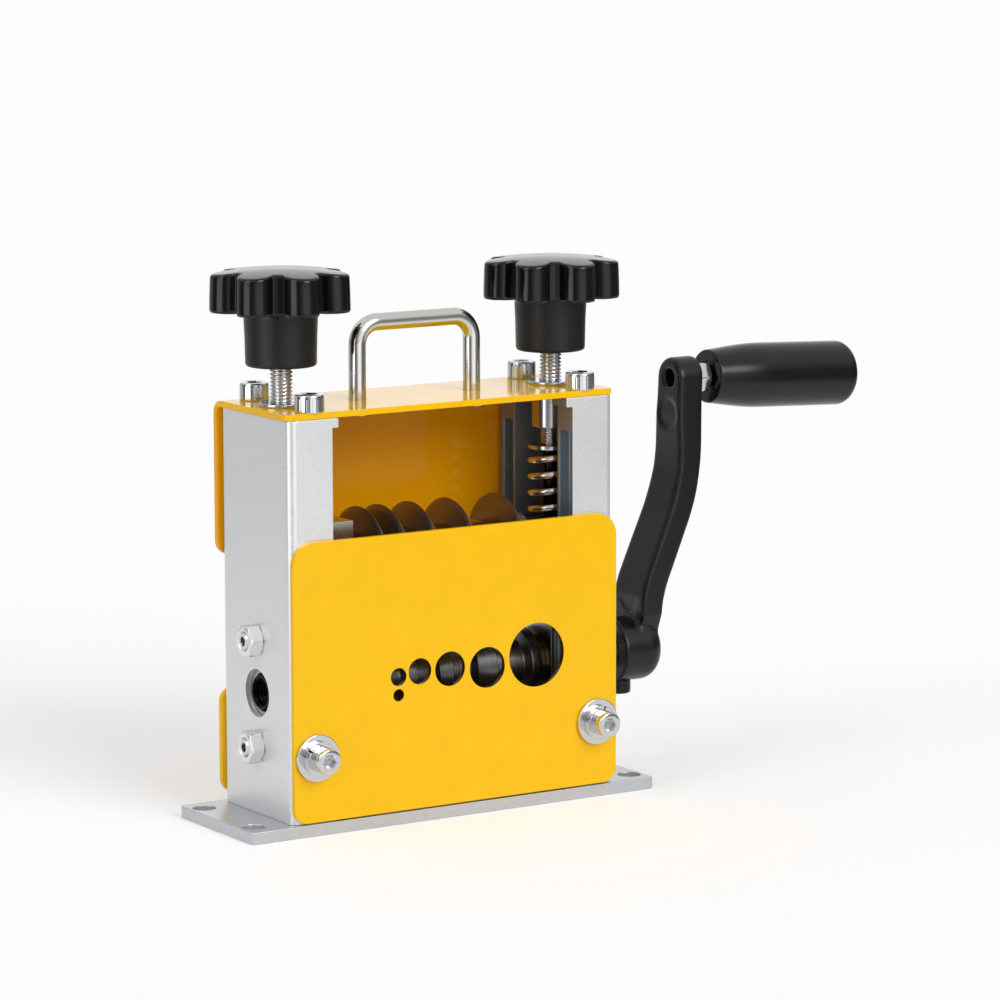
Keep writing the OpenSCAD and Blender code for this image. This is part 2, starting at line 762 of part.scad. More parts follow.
// Upper bearing block: it slides in the column's slot and hangs on the adjuster screw
module upper_block(side) {
    inner = side == LEFT ? left_block_in : right_block_in;
    bush_end = side == LEFT ? inner + cheek_len : up_bush_end;
    color(STEEL) on_side(side) difference() {
        union() {
            translate([inner, -block_y, up_block_low])
                cube([up_block_out - inner, 2 * block_y, up_block_top - up_block_low]);
            if (side == LEFT)
                translate([inner, -block_y, up_block_low])
                    cube([cheek_len, 2 * block_y, blade_z + cheek_above - up_block_low]);
        }
        translate([0, 0, blade_z]) x_rod(up_bush_d + 2 * seat_gap, inner - cut, bush_end + seat_gap);
        translate([adjuster_x, 0, journal_low - seat_gap])
            cylinder(d = journal_d + 2 * run_gap, h = journal_len + cut);
        translate([retain_x, 0, retain_z])
            y_rod(retain_pin_d + 2 * seat_gap, -block_y - cut, block_y + cut);
    }
}

// Flanged bush of the blade shaft
module upper_bush(side) {
    inner = side == LEFT ? left_block_in : right_block_in;
    bush_end = side == LEFT ? inner + cheek_len : up_bush_end;
    color(BRONZE) on_side(side) translate([0, 0, blade_z]) difference() {
        union() {
            x_rod(up_bush_d, inner, bush_end);
            x_rod(up_bush_d + 2 * bush_flange_w, inner - up_flange_t, inner);
        }
        x_rod(blade_shaft_d + 2 * run_gap, inner - up_flange_t - cut, bush_end + cut);
    }
}

// Cross pins that ride in the necks of the adjuster screws and retain them
retain_x = adjuster_x + retain_neck_d / 2 + retain_pin_d / 2 + run_gap;
module retaining_pins() {
    color(STEEL) for (side = [LEFT, RIGHT])
        on_side(side) translate([retain_x, 0, retain_z]) y_rod(retain_pin_d, -block_y, block_y);
}

// Adjuster screw: journal with its neck, then the thread, up into the knob
module adjuster_screw(side) {
    knob_low = cover_top + (side == LEFT ? left_knob_gap : right_knob_gap);
    neck_h = retain_pin_d + 2 * thrust_gap;
    color(ZINC) on_side(side) translate([adjuster_x, 0, 0]) {
        difference() {
            translate([0, 0, journal_low]) cylinder(d = journal_d, h = journal_len + thrust_gap);
            translate([0, 0, retain_z - neck_h / 2]) ring(journal_d + cut, retain_neck_d, neck_h);
        }
        translate([0, 0, up_block_top + thrust_gap])
            cylinder(d = screw_d, h = knob_low + knob_bore_depth - up_block_top - thrust_gap);
    }
}

// Collar on the adjuster screw, on top of the spring
module spring_collar(side) {
    color(ZINC) on_side(side) translate([adjuster_x, 0, collar_low])
        ring(spring_d, screw_d + 2 * seat_gap, collar_t);
}

// Spring: one helical tube with closer curls at its ends
RINGS_PER_CURL = 8;
WIRE_SIDES = 6;
spring_end_curls = 0.5;
spring_end_pitch = wire_d + curl_gap;
spring_mid_rise = spring_h - wire_d - 2 * spring_end_curls * spring_end_pitch;
spring_curls = 2 * spring_end_curls + spring_mid_rise / spring_pitch;
spring_r = (spring_d - wire_d) / 2;
spring_rings = round(spring_curls * RINGS_PER_CURL);

function spring_curl(i) = spring_curls * i / spring_rings;
function spring_z(c) = wire_d / 2
    + min(c, spring_end_curls) * spring_end_pitch
    + max(0, min(c, spring_curls - spring_end_curls) - spring_end_curls) * spring_pitch
    + max(0, c - spring_curls + spring_end_curls) * spring_end_pitch;
function spring_point(i) =
    let (c = spring_curl(i)) [spring_r * cos(360 * c), spring_r * sin(360 * c), spring_z(c)];
function wire_ring(i) =
    let (turn = 360 * spring_curl(i), middle = spring_point(i))
    [for (k = [0 : WIRE_SIDES - 1])
        let (a = 360 * k / WIRE_SIDES, out = wire_d / 2 * cos(a))
        middle + [out * cos(turn), out * sin(turn), wire_d / 2 * sin(a)]];

spring_points = [for (i = [0 : spring_rings]) each wire_ring(i)];
spring_sides = [
    for (i = [0 : spring_rings - 1], k = [0 : WIRE_SIDES - 1])
        let (a = i * WIRE_SIDES + k, b = i * WIRE_SIDES + (k + 1) % WIRE_SIDES)
        each [[a, a + WIRE_SIDES, b], [b, a + WIRE_SIDES, b + WIRE_SIDES]]
];
spring_caps = [
    for (k = [1 : WIRE_SIDES - 2])
        each [[0, k, k + 1],
              [for (v = [0, k + 1, k]) spring_rings * WIRE_SIDES + v]]
];
spring_least_gap = min([
    for (i = [0 : spring_rings - RINGS_PER_CURL + 1], j = [i + RINGS_PER_CURL - 1 : spring_rings])
        norm(spring_point(i) - spring_point(j))
]) - wire_d;
echo(str("least gap of a spring to itself, in mm: ", spring_least_gap));

module spring(side) {
    color(STEEL) on_side(side) translate([adjuster_x, 0, spring_low])
        polyhedron(spring_points, concat(spring_sides, spring_caps));
}

// Star knob with its hub below and a low dome on top
dome_h = 2;
dome_d = 24;
// Angle of a knob's first lobe from +X
function knob_phase(side) = side == LEFT ? 6 : 11;
module knob(side) {
    knob_low = cover_top + (side == LEFT ? left_knob_gap : right_knob_gap);
    lobe_r = (knob_d - lobe_d) / 2;
    hub_h = knob_h - lobe_h;
    color(BLACK) translate([side == LEFT ? -adjuster_x : adjuster_x, 0, knob_low]) difference() {
        union() {
            cylinder(d = knob_hub_d, h = hub_h + lobe_h / 2);
            translate([0, 0, hub_h]) linear_extrude(lobe_h - dome_h) {
                circle(d = core_d);
                for (i = [0 : lobes - 1]) rotate(knob_phase(side) + i * 360 / lobes)
                    translate([lobe_r, 0]) circle(d = lobe_d);
            }
            translate([0, 0, knob_h - dome_h]) cylinder(d1 = core_d, d2 = dome_d, h = dome_h);
        }
        translate([0, 0, -cut])
            cylinder(d = screw_d + 2 * seat_gap, h = knob_bore_depth + seat_gap + cut);
    }
}

// Blade shaft with the collar that the stack of blades and spacers bears on
module blade_shaft() {
    color(STEEL) translate([0, 0, blade_z]) {
        x_rod(blade_shaft_d, -left_block_in - cheek_len + shaft_end_gap, up_bush_end - shaft_end_gap);
        x_rod(shaft_collar_d, shaft_collar_x, stack_start);
    }
}

// Blade disc with a bevel on both faces
module blade(i) {
    body_r = disc_d / 2 - bevel_depth;
    bore_r = blade_shaft_d / 2 + seat_gap;
    half = disc_t / 2;
    color(BLADE) translate([feed_x(i), 0, blade_z]) rotate([0, 90, 0]) rotate_extrude()
        polygon([[bore_r, -half], [body_r, -half], [disc_d / 2, -edge_t / 2],
                 [disc_d / 2, edge_t / 2], [body_r, half], [bore_r, half]]);
}

module spacer(i) {
    color(STEEL) translate([0, 0, blade_z])
        x_tube(spacer_d, blade_shaft_d + 2 * seat_gap, spacer_low(i), spacer_high(i));
}

// Round lock nut with four slots for a hook wrench
module shaft_lock_nut() {
    slot_deep = 2;
    slot_wide = 4;
    color(ZINC) translate([0, 0, blade_z]) difference() {
        x_tube(lock_nut_d, blade_shaft_d + 2 * seat_gap, stack_end, lock_nut_end);
        for (a = [0 : 90 : 270]) rotate([a, 0, 0])
            translate([stack_end - cut, -slot_wide / 2, lock_nut_d / 2 - slot_deep])
                cube([lock_nut_end - stack_end + 2 * cut, slot_wide, slot_deep + cut]);
    }
}

// Drive shaft, from the left column's hole into the crank's hub
module drive_shaft() {
    color(STEEL) translate([0, 0, drive_z]) difference() {
        x_rod(drive_d, -drive_left_end, hub_out - arm_t);
        translate([-roller_pin_x, 0, -roller_d / 2])
            cylinder(d = roller_pin_d + 2 * seat_gap, h = roller_d);
    }
}

// Drive roller: lands and grooves under the blades, with turned down ends
roller_pin_x = -roller_low - roller_pin_inset;
function groove_points(i) =
    let (floor_r = roller_d / 2 - groove_depth, half = feed_d(i) * groove_floor_share / 2,
         flank = groove_flank_share * stack_room)
    [[roller_d / 2, feed_x(i) - half - flank], [floor_r, feed_x(i) - half],
     [floor_r, feed_x(i) + half], [roller_d / 2, feed_x(i) + half + flank]];
module drive_roller() {
    bore_r = drive_d / 2 + seat_gap;
    end_r = roller_end_d / 2;
    outline = concat(
        [[bore_r, -roller_end_x], [end_r, -roller_end_x], [end_r, roller_low],
         [roller_d / 2, roller_low]],
        [for (i = [0 : feed_count - 1]) each groove_points(i)],
        [[roller_d / 2, roller_high], [end_r, roller_high], [end_r, roller_end_x],
         [bore_r, roller_end_x]]);
    color(STEEL) translate([0, 0, drive_z]) difference() {
        rotate([0, 90, 0]) rotate_extrude() polygon(outline);
        translate([-roller_pin_x, 0, -roller_d / 2 - cut])
            cylinder(d = roller_pin_d + 2 * seat_gap, h = roller_d + 2 * cut);
    }
}

// Pin through the roller and its shaft
module roller_pin() {
    pin_len = roller_d - 2 * roller_pin_sink;
    color(STEEL) translate([-roller_pin_x, 0, drive_z - pin_len / 2])
        cylinder(d = roller_pin_d, h = pin_len);
}

// Centre line of the crank arm in the XZ plane: straight, then round at each bend
ARC_STEPS = 8;
function unit(v) = v / norm(v);
function rounded_bend(a, b, c, r) =
    let (u = unit(a - b), v = unit(c - b),
         half = acos(u * v) / 2,
         reach = r / tan(half),
         middle = b + unit(u + v) * r / sin(half),
         start = b + u * reach - middle,
         end = b + v * reach - middle,
         a0 = atan2(start[1], start[0]),
         turn = atan2(end[1], end[0]) - a0,
         sweep = turn > 180 ? turn - 360 : turn < -180 ? turn + 360 : turn)
    [for (k = [0 : ARC_STEPS])
        middle + r * [cos(a0 + sweep * k / ARC_STEPS), sin(a0 + sweep * k / ARC_STEPS)]];
arm_root = [arm_x, 0];
arm_low_bend = [arm_x, arm_bend_low];
arm_high_bend = [arm_top_x, arm_bend_high];
arm_tip = arm_high_bend + (crank_r - arm_bend_high + arm_w) * [tan(arm_lean), 1];
arm_path = concat(
    [arm_root],
    rounded_bend(arm_root, arm_low_bend, arm_high_bend, arm_bend_r),
    rounded_bend(arm_low_bend, arm_high_bend, arm_tip, arm_bend_r),
    [arm_tip]);
function path_normal(p, i) =
    let (a = p[max(i - 1, 0)], b = p[min(i + 1, len(p) - 1)], d = unit(b - a)) [d[1], -d[0]];
function path_side(p, off) = [for (i = [0 : len(p) - 1]) p[i] + off * path_normal(p, i)];
function reversed(p) = [for (i = [len(p) - 1 : -1 : 0]) p[i]];
arm_outline = concat(path_side(arm_path, arm_t / 2), reversed(path_side(arm_path, -arm_t / 2)));

// The grip bolt's axis: what is drawn along +Z stands at the arm's end and points outwards
module on_bolt_axis() {
    translate([bolt_x, 0, bolt_z]) rotate([0, 90 + arm_lean, 0]) children();
}

// Crank arm with its hub
module crank_arm() {
    far = arm_top_x + arm_w;
    color(BLACK) difference() {
        union() {
            intersection() {
                translate([0, arm_w / 2, drive_z]) rotate([90, 0, 0])
                    linear_extrude(arm_w) polygon(arm_outline);
                union() {
                    translate([0, 0, bolt_z]) x_rod(arm_w, 0, far);
                    translate([0, -arm_w / 2, drive_z]) cube([far, arm_w, crank_r]);
                }
            }
            translate([0, 0, drive_z]) rotate([0, 90, 0]) rotate_extrude() {
                translate([0, hub_in]) square([hub_d / 2, hub_len - hub_round]);
                translate([0, hub_in]) square([hub_d / 2 - hub_round, hub_len]);
                translate([hub_d / 2 - hub_round, hub_out - hub_round]) intersection() {
                    circle(hub_round);
                    square(hub_round);
                }
            }
        }
        translate([0, 0, drive_z]) x_rod(drive_d + 2 * seat_gap, hub_in - cut, hub_out - arm_t + seat_gap);
        translate([clamp_x, 0, drive_z - hub_d]) {
            cylinder(d = clamp_d + 2 * seat_gap, h = hub_d);
            cylinder(d = clamp_head_d + 2 * clamp_seat_gap, h = hub_d / 2 + clamp_seat);
        }
        on_bolt_axis() translate([0, 0, -arm_t]) cylinder(d = bolt_d + 2 * seat_gap, h = 2 * arm_t);
        translate([0, 0, drive_z + mark_rise]) x_rod(mark_d, arm_x - arm_t, arm_x - arm_t / 2 + mark_depth);
        on_bolt_axis() translate([mark_high_drop, 0, -arm_t])
            cylinder(d = mark_d, h = arm_t / 2 + mark_depth);
    }
}

// Knurled screw that clamps the crank on the drive shaft
module crank_clamp_screw() {
    shank = (hub_d - drive_d) / 2 - clamp_seat - seat_gap;
    color(BLACK) translate([clamp_x, 0, drive_z - hub_d / 2 + clamp_seat]) mirror([0, 0, 1])
        socket_screw(clamp_d, shank, clamp_head_d, clamp_head_h, clamp_key_w, key_depth);
}

module grip_nut() {
    color(ZINC) on_bolt_axis() translate([0, 0, arm_t / 2])
        hex_nut(nut_w, nut_h, bolt_d + 2 * seat_gap);
}

// Bolt that the grip turns on, with its head sunk in the grip's outer end
module grip_bolt() {
    tip = -arm_t / 2 + bolt_recess;
    head_low = grip_start + grip_len - bolt_bore_depth + stop_gap;
    color(ZINC) on_bolt_axis() {
        translate([0, 0, tip]) cylinder(d = bolt_d, h = head_low - tip);
        translate([0, 0, head_low]) difference() {
            cylinder(d = head_d, h = bolt_head_h);
            translate([0, 0, bolt_head_h / 2]) hexagon(key_w, bolt_head_h);
        }
    }
}

// Grip: it widens from the arm to its body and ends in a rounded rim
module grip() {
    body_r = grip_d / 2;
    color(BLACK) on_bolt_axis() translate([0, 0, grip_start]) difference() {
        rotate_extrude() {
            polygon([[0, 0], [grip_end_d / 2, 0], [body_r, grip_taper],
                     [body_r, grip_len - grip_round], [0, grip_len - grip_round]]);
            translate([0, grip_taper]) square([body_r - grip_round, grip_len - grip_taper]);
            translate([body_r - grip_round, grip_len - grip_round]) intersection() {
                circle(grip_round);
                square(grip_round);
            }
        }
        translate([0, 0, -cut]) cylinder(d = bolt_d + 2 * run_gap, h = grip_len + 2 * cut);
        translate([0, 0, grip_len - bolt_bore_depth])
            cylinder(d = head_d + 2 * open_gap, h = bolt_bore_depth + cut);
    }
}

base_plate();
column(LEFT);  // left_column
column(RIGHT);  // right_column
foot_screws();
front_plate();
front_flat_washers();
front_spring_washers();
front_screws();
rear_plate();
rear_screws();
top_cover();
cover_screws();
carry_handle();
handle_nuts();
threaded_bush(LEFT);  // left_threaded_bush
threaded_bush(RIGHT);  // right_threaded_bush
lower_block(LEFT);  // left_lower_block
lower_block(RIGHT);  // right_lower_block
lower_bush(LEFT);  // left_lower_bush
lower_bush(RIGHT);  // right_lower_bush
block_studs();
stud_nuts();
upper_block(LEFT);  // left_upper_block
upper_block(RIGHT);  // right_upper_block
upper_bush(LEFT);  // left_upper_bush
upper_bush(RIGHT);  // right_upper_bush
spring(LEFT);  // left_spring
spring(RIGHT);  // right_spring
retaining_pins();
adjuster_screw(LEFT);  // left_adjuster_screw
adjuster_screw(RIGHT);  // right_adjuster_screw
spring_collar(LEFT);  // left_spring_collar
spring_collar(RIGHT);  // right_spring_collar
knob(LEFT);  // left_knob
knob(RIGHT);  // right_knob
blade_shaft();
blade(0);  // blade_1
blade(1);  // blade_2
blade(2);  // blade_3
blade(3);  // blade_4
blade(4);  // blade_5
spacer(0);  // spacer_1
spacer(1);  // spacer_2
spacer(2);  // spacer_3
spacer(3);  // spacer_4
spacer(4);  // spacer_5
shaft_lock_nut();
drive_shaft();
drive_roller();
roller_pin();
crank_arm();
crank_clamp_screw();
grip_nut();
grip_bolt();
grip();
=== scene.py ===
"""Looks of a hand crank wire stripper: housing, blades over a feed roller, two star knobs and a crank."""

import logging
import math
from collections.abc import Sequence
from dataclasses import dataclass, replace
from enum import Enum

import bmesh
import bpy
import numpy as np
from mathutils import Matrix, Vector


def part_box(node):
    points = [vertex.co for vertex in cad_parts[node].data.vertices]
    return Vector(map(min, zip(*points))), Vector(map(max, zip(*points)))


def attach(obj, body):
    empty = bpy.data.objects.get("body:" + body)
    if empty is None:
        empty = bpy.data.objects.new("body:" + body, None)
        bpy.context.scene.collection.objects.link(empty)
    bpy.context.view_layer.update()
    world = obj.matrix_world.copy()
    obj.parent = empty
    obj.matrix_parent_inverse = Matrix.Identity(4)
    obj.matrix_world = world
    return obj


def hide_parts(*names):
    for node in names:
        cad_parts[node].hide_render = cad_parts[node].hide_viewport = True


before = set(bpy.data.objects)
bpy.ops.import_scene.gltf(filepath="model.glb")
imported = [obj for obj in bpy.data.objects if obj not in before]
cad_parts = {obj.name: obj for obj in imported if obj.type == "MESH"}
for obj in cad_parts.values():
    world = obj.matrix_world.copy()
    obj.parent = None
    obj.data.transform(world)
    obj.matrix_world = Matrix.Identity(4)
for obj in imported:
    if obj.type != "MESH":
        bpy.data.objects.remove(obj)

log = logging.getLogger("wire_stripper")

MM = 0.001
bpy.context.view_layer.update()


class Body(Enum):
    """The moving groups that a piece can ride on."""

    FRAME = "frame"
    CARRIAGE = "carriage"
    LEFT_ADJUSTER = "left_adjuster"
    RIGHT_ADJUSTER = "right_adjuster"
    BLADES = "blade_set"
    CRANK = "crank"
    GRIP = "grip"


class Axis(Enum):
    """The direction of a turned piece's axis, by its number."""

    X = 0
    Z = 2


# Nodes


class NodeWriter:
    """Adds nodes to one node tree and joins them."""

    def __init__(self, tree: bpy.types.NodeTree) -> None:
        """Keeps the tree and empties it."""
        self.tree = tree
        tree.nodes.clear()

    def node(self, kind: str, inputs: dict | None = None, **settings) -> bpy.types.Node:
        """Adds one node.

        Args:
            kind: The node's Blender type name.
            inputs: Values or output sockets for its inputs, by name or number.
            **settings: The node's own properties.

        Returns:
            The new node.
        """
        made = self.tree.nodes.new(kind)
        for key, value in settings.items():
            setattr(made, key, value)
        for key, value in (inputs or {}).items():
            if isinstance(value, bpy.types.NodeSocket):
                self.tree.links.new(value, made.inputs[key])
            else:
                made.inputs[key].default_value = value
        return made

    def math(self, operation: str, *values, clamp: bool = False) -> bpy.types.NodeSocket:
        """Adds a Math node."""
        made = self.node("ShaderNodeMath", dict(enumerate(values)), operation=operation, use_clamp=clamp)
        return made.outputs[0]

    def ranged(self, value, low: float, high: float, to_low: float, to_high: float) -> bpy.types.NodeSocket:
        """Maps a value from one range to another."""
        return self.node("ShaderNodeMapRange", {0: value, 1: low, 2: high, 3: to_low, 4: to_high}).outputs[0]

    def mixed(self, factor, first, second) -> bpy.types.NodeSocket:
        """Blends two numbers or sockets by a factor."""
        return self.node("ShaderNodeMix", {0: factor, 2: first, 3: second}, data_type="FLOAT").outputs[0]

    def noise(self, place: bpy.types.NodeSocket, grain: float, detail: float) -> bpy.types.NodeSocket:
        """Adds a noise texture.

        Args:
            place: Where it is read.
            grain: Size of its features in millimetres.
            detail: Its octaves.

        Returns:
            The noise value's socket.
        """
        return self.node(
            "ShaderNodeTexNoise", {"Vector": place, "Scale": 1 / (grain * MM), "Detail": detail}
        ).outputs[0]

    def ramp(self, value: bpy.types.NodeSocket, *stops: tuple[float, tuple]) -> bpy.types.NodeSocket:
        """Adds a colour ramp.

        Args:
            value: What it reads.
            *stops: Pairs of a place and a linear colour.

        Returns:
            The colour's socket.
        """
        made = self.node("ShaderNodeValToRGB", {0: value})
        elements = made.color_ramp.elements
        while len(elements) < len(stops):
            elements.new(1.0)
        for element, (place, colour) in zip(elements, stops):
            element.position = place
            element.color = colour
        return made.outputs[0]


def linear(colour: Sequence[float]) -> tuple[float, float, float, float]:
    """Turns a display colour into Blender's linear one."""
    return (*((c / 12.92 if c <= 0.04045 else ((c + 0.055) / 1.055) ** 2.4) for c in colour), 1.0)


# Finishes


@dataclass(frozen=True)
class Finish:
    """A surface with fine grain, whose colour, gloss and relief drift over the piece."""

    slot: str
    colour: tuple[float, float, float]
    metallic: float = 0.0
    roughness: float = 0.4
    spread: float = 0.05
    tint: float = 0.04
    grain: float = 0.4
    depth: float = 0.01
    cloud: float = 18.0
    coat: float = 0.0
    coat_roughness: float = 0.05
    coat_ior: float = 1.5
    specular: float = 0.5
    # inner is a tone painted as shade inside the box from low to high (|x|, y, z in millimetres)
    inner: tuple[float, float, float] | None = None
    low: tuple[float, float, float] = (0.0, 0.0, 0.0)
    high: tuple[float, float, float] = (0.0, 0.0, 0.0)
    name: str = ""

    def material(self) -> bpy.types.Material:
        """Builds the material once and returns it from then on.

        Returns:
            The Blender material.
        """
        name = f"finish_{self.name or self.slot}"
        found = bpy.data.materials.get(name)
        if found:
            return found
        made = bpy.data.materials.new(name)
        made.use_nodes = True
        writer = NodeWriter(made.node_tree)
        shader = writer.node(
            "ShaderNodeBsdfPrincipled",
            {
                "Metallic": self.metallic,
                "Coat Weight": self.coat,
                "Coat Roughness": self.coat_roughness,
                "Coat IOR": self.coat_ior,
                "Specular IOR Level": self.specular,
            },
        )
        writer.node("ShaderNodeOutputMaterial", {0: shader.outputs[0]})
        place = writer.node("ShaderNodeTexCoord").outputs["Object"]
        colour, roughness, relief = self.pattern(writer, place)
        # paints shade as the inner tone inside the finish's box, where it has one
        colour = self.painted_shade(writer, place, colour)
        bump = writer.node("ShaderNodeBump", {"Strength": 1.0, "Distance": self.depth * MM, "Height": relief})
        for value, socket in ((colour, "Base Color"), (roughness, "Roughness"), (bump.outputs[0], "Normal")):
            made.node_tree.links.new(value, shader.inputs[socket])
        made.diffuse_color = linear(self.colour)
        return made

    def pattern(
        self, writer: NodeWriter, place: bpy.types.NodeSocket
    ) -> tuple[bpy.types.NodeSocket, bpy.types.NodeSocket, bpy.types.NodeSocket]:
        """Writes the pattern of colour, roughness and relief.

        Args:
            writer: The material's node writer.
            place: Object coordinates.

        Returns:
            The sockets of the colour, the roughness and the relief's height.
        """
        fine = writer.noise(place, self.grain, 3)
        cloud = writer.noise(place, self.cloud, 3)
        both = writer.math("ADD", writer.math("MULTIPLY", fine, 0.5), writer.math("MULTIPLY", cloud, 0.5))
        return self.drift(writer, both), self.gloss(writer, both), fine

    def painted_shade(
        self, writer: NodeWriter, place: bpy.types.NodeSocket, colour: bpy.types.NodeSocket
    ) -> bpy.types.NodeSocket:
        """Swaps the colour for a tone painted as shade inside a box, which is mirrored on the left side.

        Args:
            writer: The material's node writer.
            place: Object coordinates.
            colour: The colour outside the box.

        Returns:
            The colour's socket.
        """
        if self.inner is None:
            return colour
        x, *rest = writer.node("ShaderNodeSeparateXYZ", {0: place}).outputs
        inside = 1.0
        for part, low, high in zip((writer.math("ABSOLUTE", x), *rest), self.low, self.high):
            for operation, limit in (("GREATER_THAN", low), ("LESS_THAN", high)):
                inside = writer.math("MULTIPLY", writer.math(operation, part, limit * MM), inside)
        shade_tones = {0: inside, 6: colour, 7: linear(self.inner)}
        return writer.node("ShaderNodeMix", shade_tones, data_type="RGBA").outputs[2]

    def drift(self, writer: NodeWriter, value: bpy.types.NodeSocket) -> bpy.types.NodeSocket:
        """Lets the colour drift with a value of about 0.3 to 0.7.

        Args:
            writer: The material's node writer.
            value: The value.

        Returns:
            The colour's socket.
        """
        base = linear(self.colour)
        dark = (*(c * (1 - self.tint) for c in base[:3]), 1)
        light = (*(min(1, c * (1 + self.tint)) for c in base[:3]), 1)
        return writer.ramp(value, (0.3, dark), (0.7, light))

    def gloss(self, writer: NodeWriter, value: bpy.types.NodeSocket) -> bpy.types.NodeSocket:
        """Lets the roughness drift with a value of about 0.3 to 0.7."""
        return writer.ranged(value, 0.3, 0.7, self.roughness - self.spread, self.roughness + self.spread)


@dataclass(frozen=True)
class BlastedFinish(Finish):
    """Blasted and anodised metal, with light and dark grains of two sizes."""

    coarse: float = 1.1

    def pattern(self, writer: NodeWriter, place: bpy.types.NodeSocket):
        """Mixes two grains, as the base method says."""
        fine = writer.noise(place, self.grain, 2)
        coarse = writer.noise(place, self.coarse, 2)
        cloud = writer.noise(place, self.cloud, 2)
        fine_share, coarse_share = writer.math("MULTIPLY", fine, 0.65), writer.math("MULTIPLY", coarse, 0.35)
        relief = writer.math("ADD", fine_share, coarse_share)
        gloss = writer.math("ADD", writer.math("MULTIPLY", relief, 0.6), writer.math("MULTIPLY", cloud, 0.4))
        return self.drift(writer, relief), self.gloss(writer, gloss), relief


@dataclass(frozen=True)
class PaintFinish(Finish):
    """Baked paint with a faint orange peel and a few darker specks."""

    speck: float = 2.4

    def pattern(self, writer: NodeWriter, place: bpy.types.NodeSocket):
        """Adds specks to the drift, as the base method says."""
        peel = writer.noise(place, self.grain, 2)
        cloud = writer.noise(place, self.cloud, 3)
        specks = writer.noise(place, self.speck, 4)
        few = writer.ranged(specks, 0.66, 0.74, 0.0, 0.35)
        mixed = writer.math("SUBTRACT", cloud, few)
        return self.drift(writer, mixed), self.gloss(writer, cloud), peel


@dataclass(frozen=True)
class TurnedFinish(Finish):
    """Metal from a lathe, with fine rings round an axis."""

    axis: Axis = Axis.X
    centre: tuple[float, float, float] = (0.0, 0.0, 0.0)
    ring: float = 0.25

    def pattern(self, writer: NodeWriter, place: bpy.types.NodeSocket):
        """Draws the rings by height along the axis and distance from it, as the base method says."""
        shifted = writer.node(
            "ShaderNodeVectorMath", {0: place, 1: tuple(c * MM for c in self.centre)}, operation="SUBTRACT"
        ).outputs[0]
        parts = list(writer.node("ShaderNodeSeparateXYZ", {0: shifted}).outputs)
        along = parts.pop(self.axis.value)
        squares = [writer.math("MULTIPLY", p, p) for p in parts]
        away = writer.math("SQRT", writer.math("ADD", *squares))
        rings = writer.node(
            "ShaderNodeTexNoise",
            {"W": writer.math("ADD", along, away), "Scale": 1 / (self.ring * MM), "Detail": 3},
            noise_dimensions="1D",
        ).outputs[0]
        cloud = writer.noise(place, self.cloud, 2)
        both = writer.math("ADD", writer.math("MULTIPLY", rings, 0.7), writer.math("MULTIPLY", cloud, 0.3))
        return self.drift(writer, both), self.gloss(writer, both), rings


@dataclass(frozen=True)
class MouldedFinish(Finish):
    """Moulded plastic, glossy above and satin below a height."""

    satin_below: float = 0.0
    satin: float = 0.42

    def gloss(self, writer: NodeWriter, value: bpy.types.NodeSocket) -> bpy.types.NodeSocket:
        """Blends the satin part in by height, as the base method says."""
        place = writer.node("ShaderNodeTexCoord").outputs["Object"]
        z = writer.node("ShaderNodeSeparateXYZ", {0: place}).outputs[2]
        low = self.satin_below * MM
        lift = writer.ranged(z, low, low + MM, self.satin - self.roughness, 0.0)
        return writer.math("ADD", super().gloss(writer, value), lift)


BLADE_AXIS = (0.0, 0.0, 85.4)
DRIVE_AXIS = (0.0, 0.0, 45.3)
STEEL = (0.72, 0.725, 0.73)
BRONZE = (0.76, 0.59, 0.36)
# The columns' aluminium, with a darker tone painted as shade over the inside of the channel and its pockets.
ALUMINIUM_SHADED_INSIDE = BlastedFinish(
    "textured_aluminium", (0.91, 0.915, 0.92), metallic=0.65, roughness=0.36, spread=0.06, tint=0.07,
    grain=0.45, depth=0.012, inner=(0.62, 0.67, 0.71), low=(40, -22.9, 4.3), high=(61.5, 22.9, 139.1),
)
# The base plate's aluminium: a darker copy of the columns', painting in the shade that its top shows.
BASE_METAL_SHADED = BlastedFinish(
    "textured_aluminium", (0.79, 0.8, 0.81), metallic=0.72, roughness=0.33, spread=0.05, tint=0.08,
    grain=0.45, depth=0.012, name="base_metal_shaded",
)
YELLOW = PaintFinish(
    "yellow_paint", (0.985, 0.765, 0.04), roughness=0.4, spread=0.03, tint=0.02, grain=1.1, cloud=9.0,
    depth=0.002, coat=1.0, coat_roughness=0.1, coat_ior=1.32, specular=0.0,
)
# The front plate's paint, with its hole walls painted dark amber as shade.
YELLOW_SHADED_HOLES = replace(
    YELLOW, low=(-1, -25.0, 30), high=(45, -23.25, 66), inner=(0.24, 0.15, 0.04), name="paint_shaded_holes"
)
# The cover's paint, painted more orange on its inner faces as warm shade.
YELLOW_COVER_WARM_SHADE = replace(
    YELLOW, low=(-1, -24, 80), high=(70, 26.5, 139.3), inner=(0.985, 0.68, 0.03), name="cover_paint_warm_shade"
)
ZINC = Finish(
    "zinc_fasteners", (0.84, 0.845, 0.855), metallic=1.0, roughness=0.14, spread=0.04, grain=0.5, depth=0.003
)
WHITE_ZINC = replace(ZINC, colour=(0.93, 0.93, 0.935), metallic=0.75, roughness=0.2, name="white_zinc")
# The adjuster screws' zinc, painted near black below the thread as the shade inside the spring.
SCREW_ZINC_SHADED = replace(
    ZINC, roughness=0.16, inner=(0.12, 0.12, 0.12), low=(-1, -9, 80), high=(70, 9, 119.3), name="screw_zinc_shaded"
)
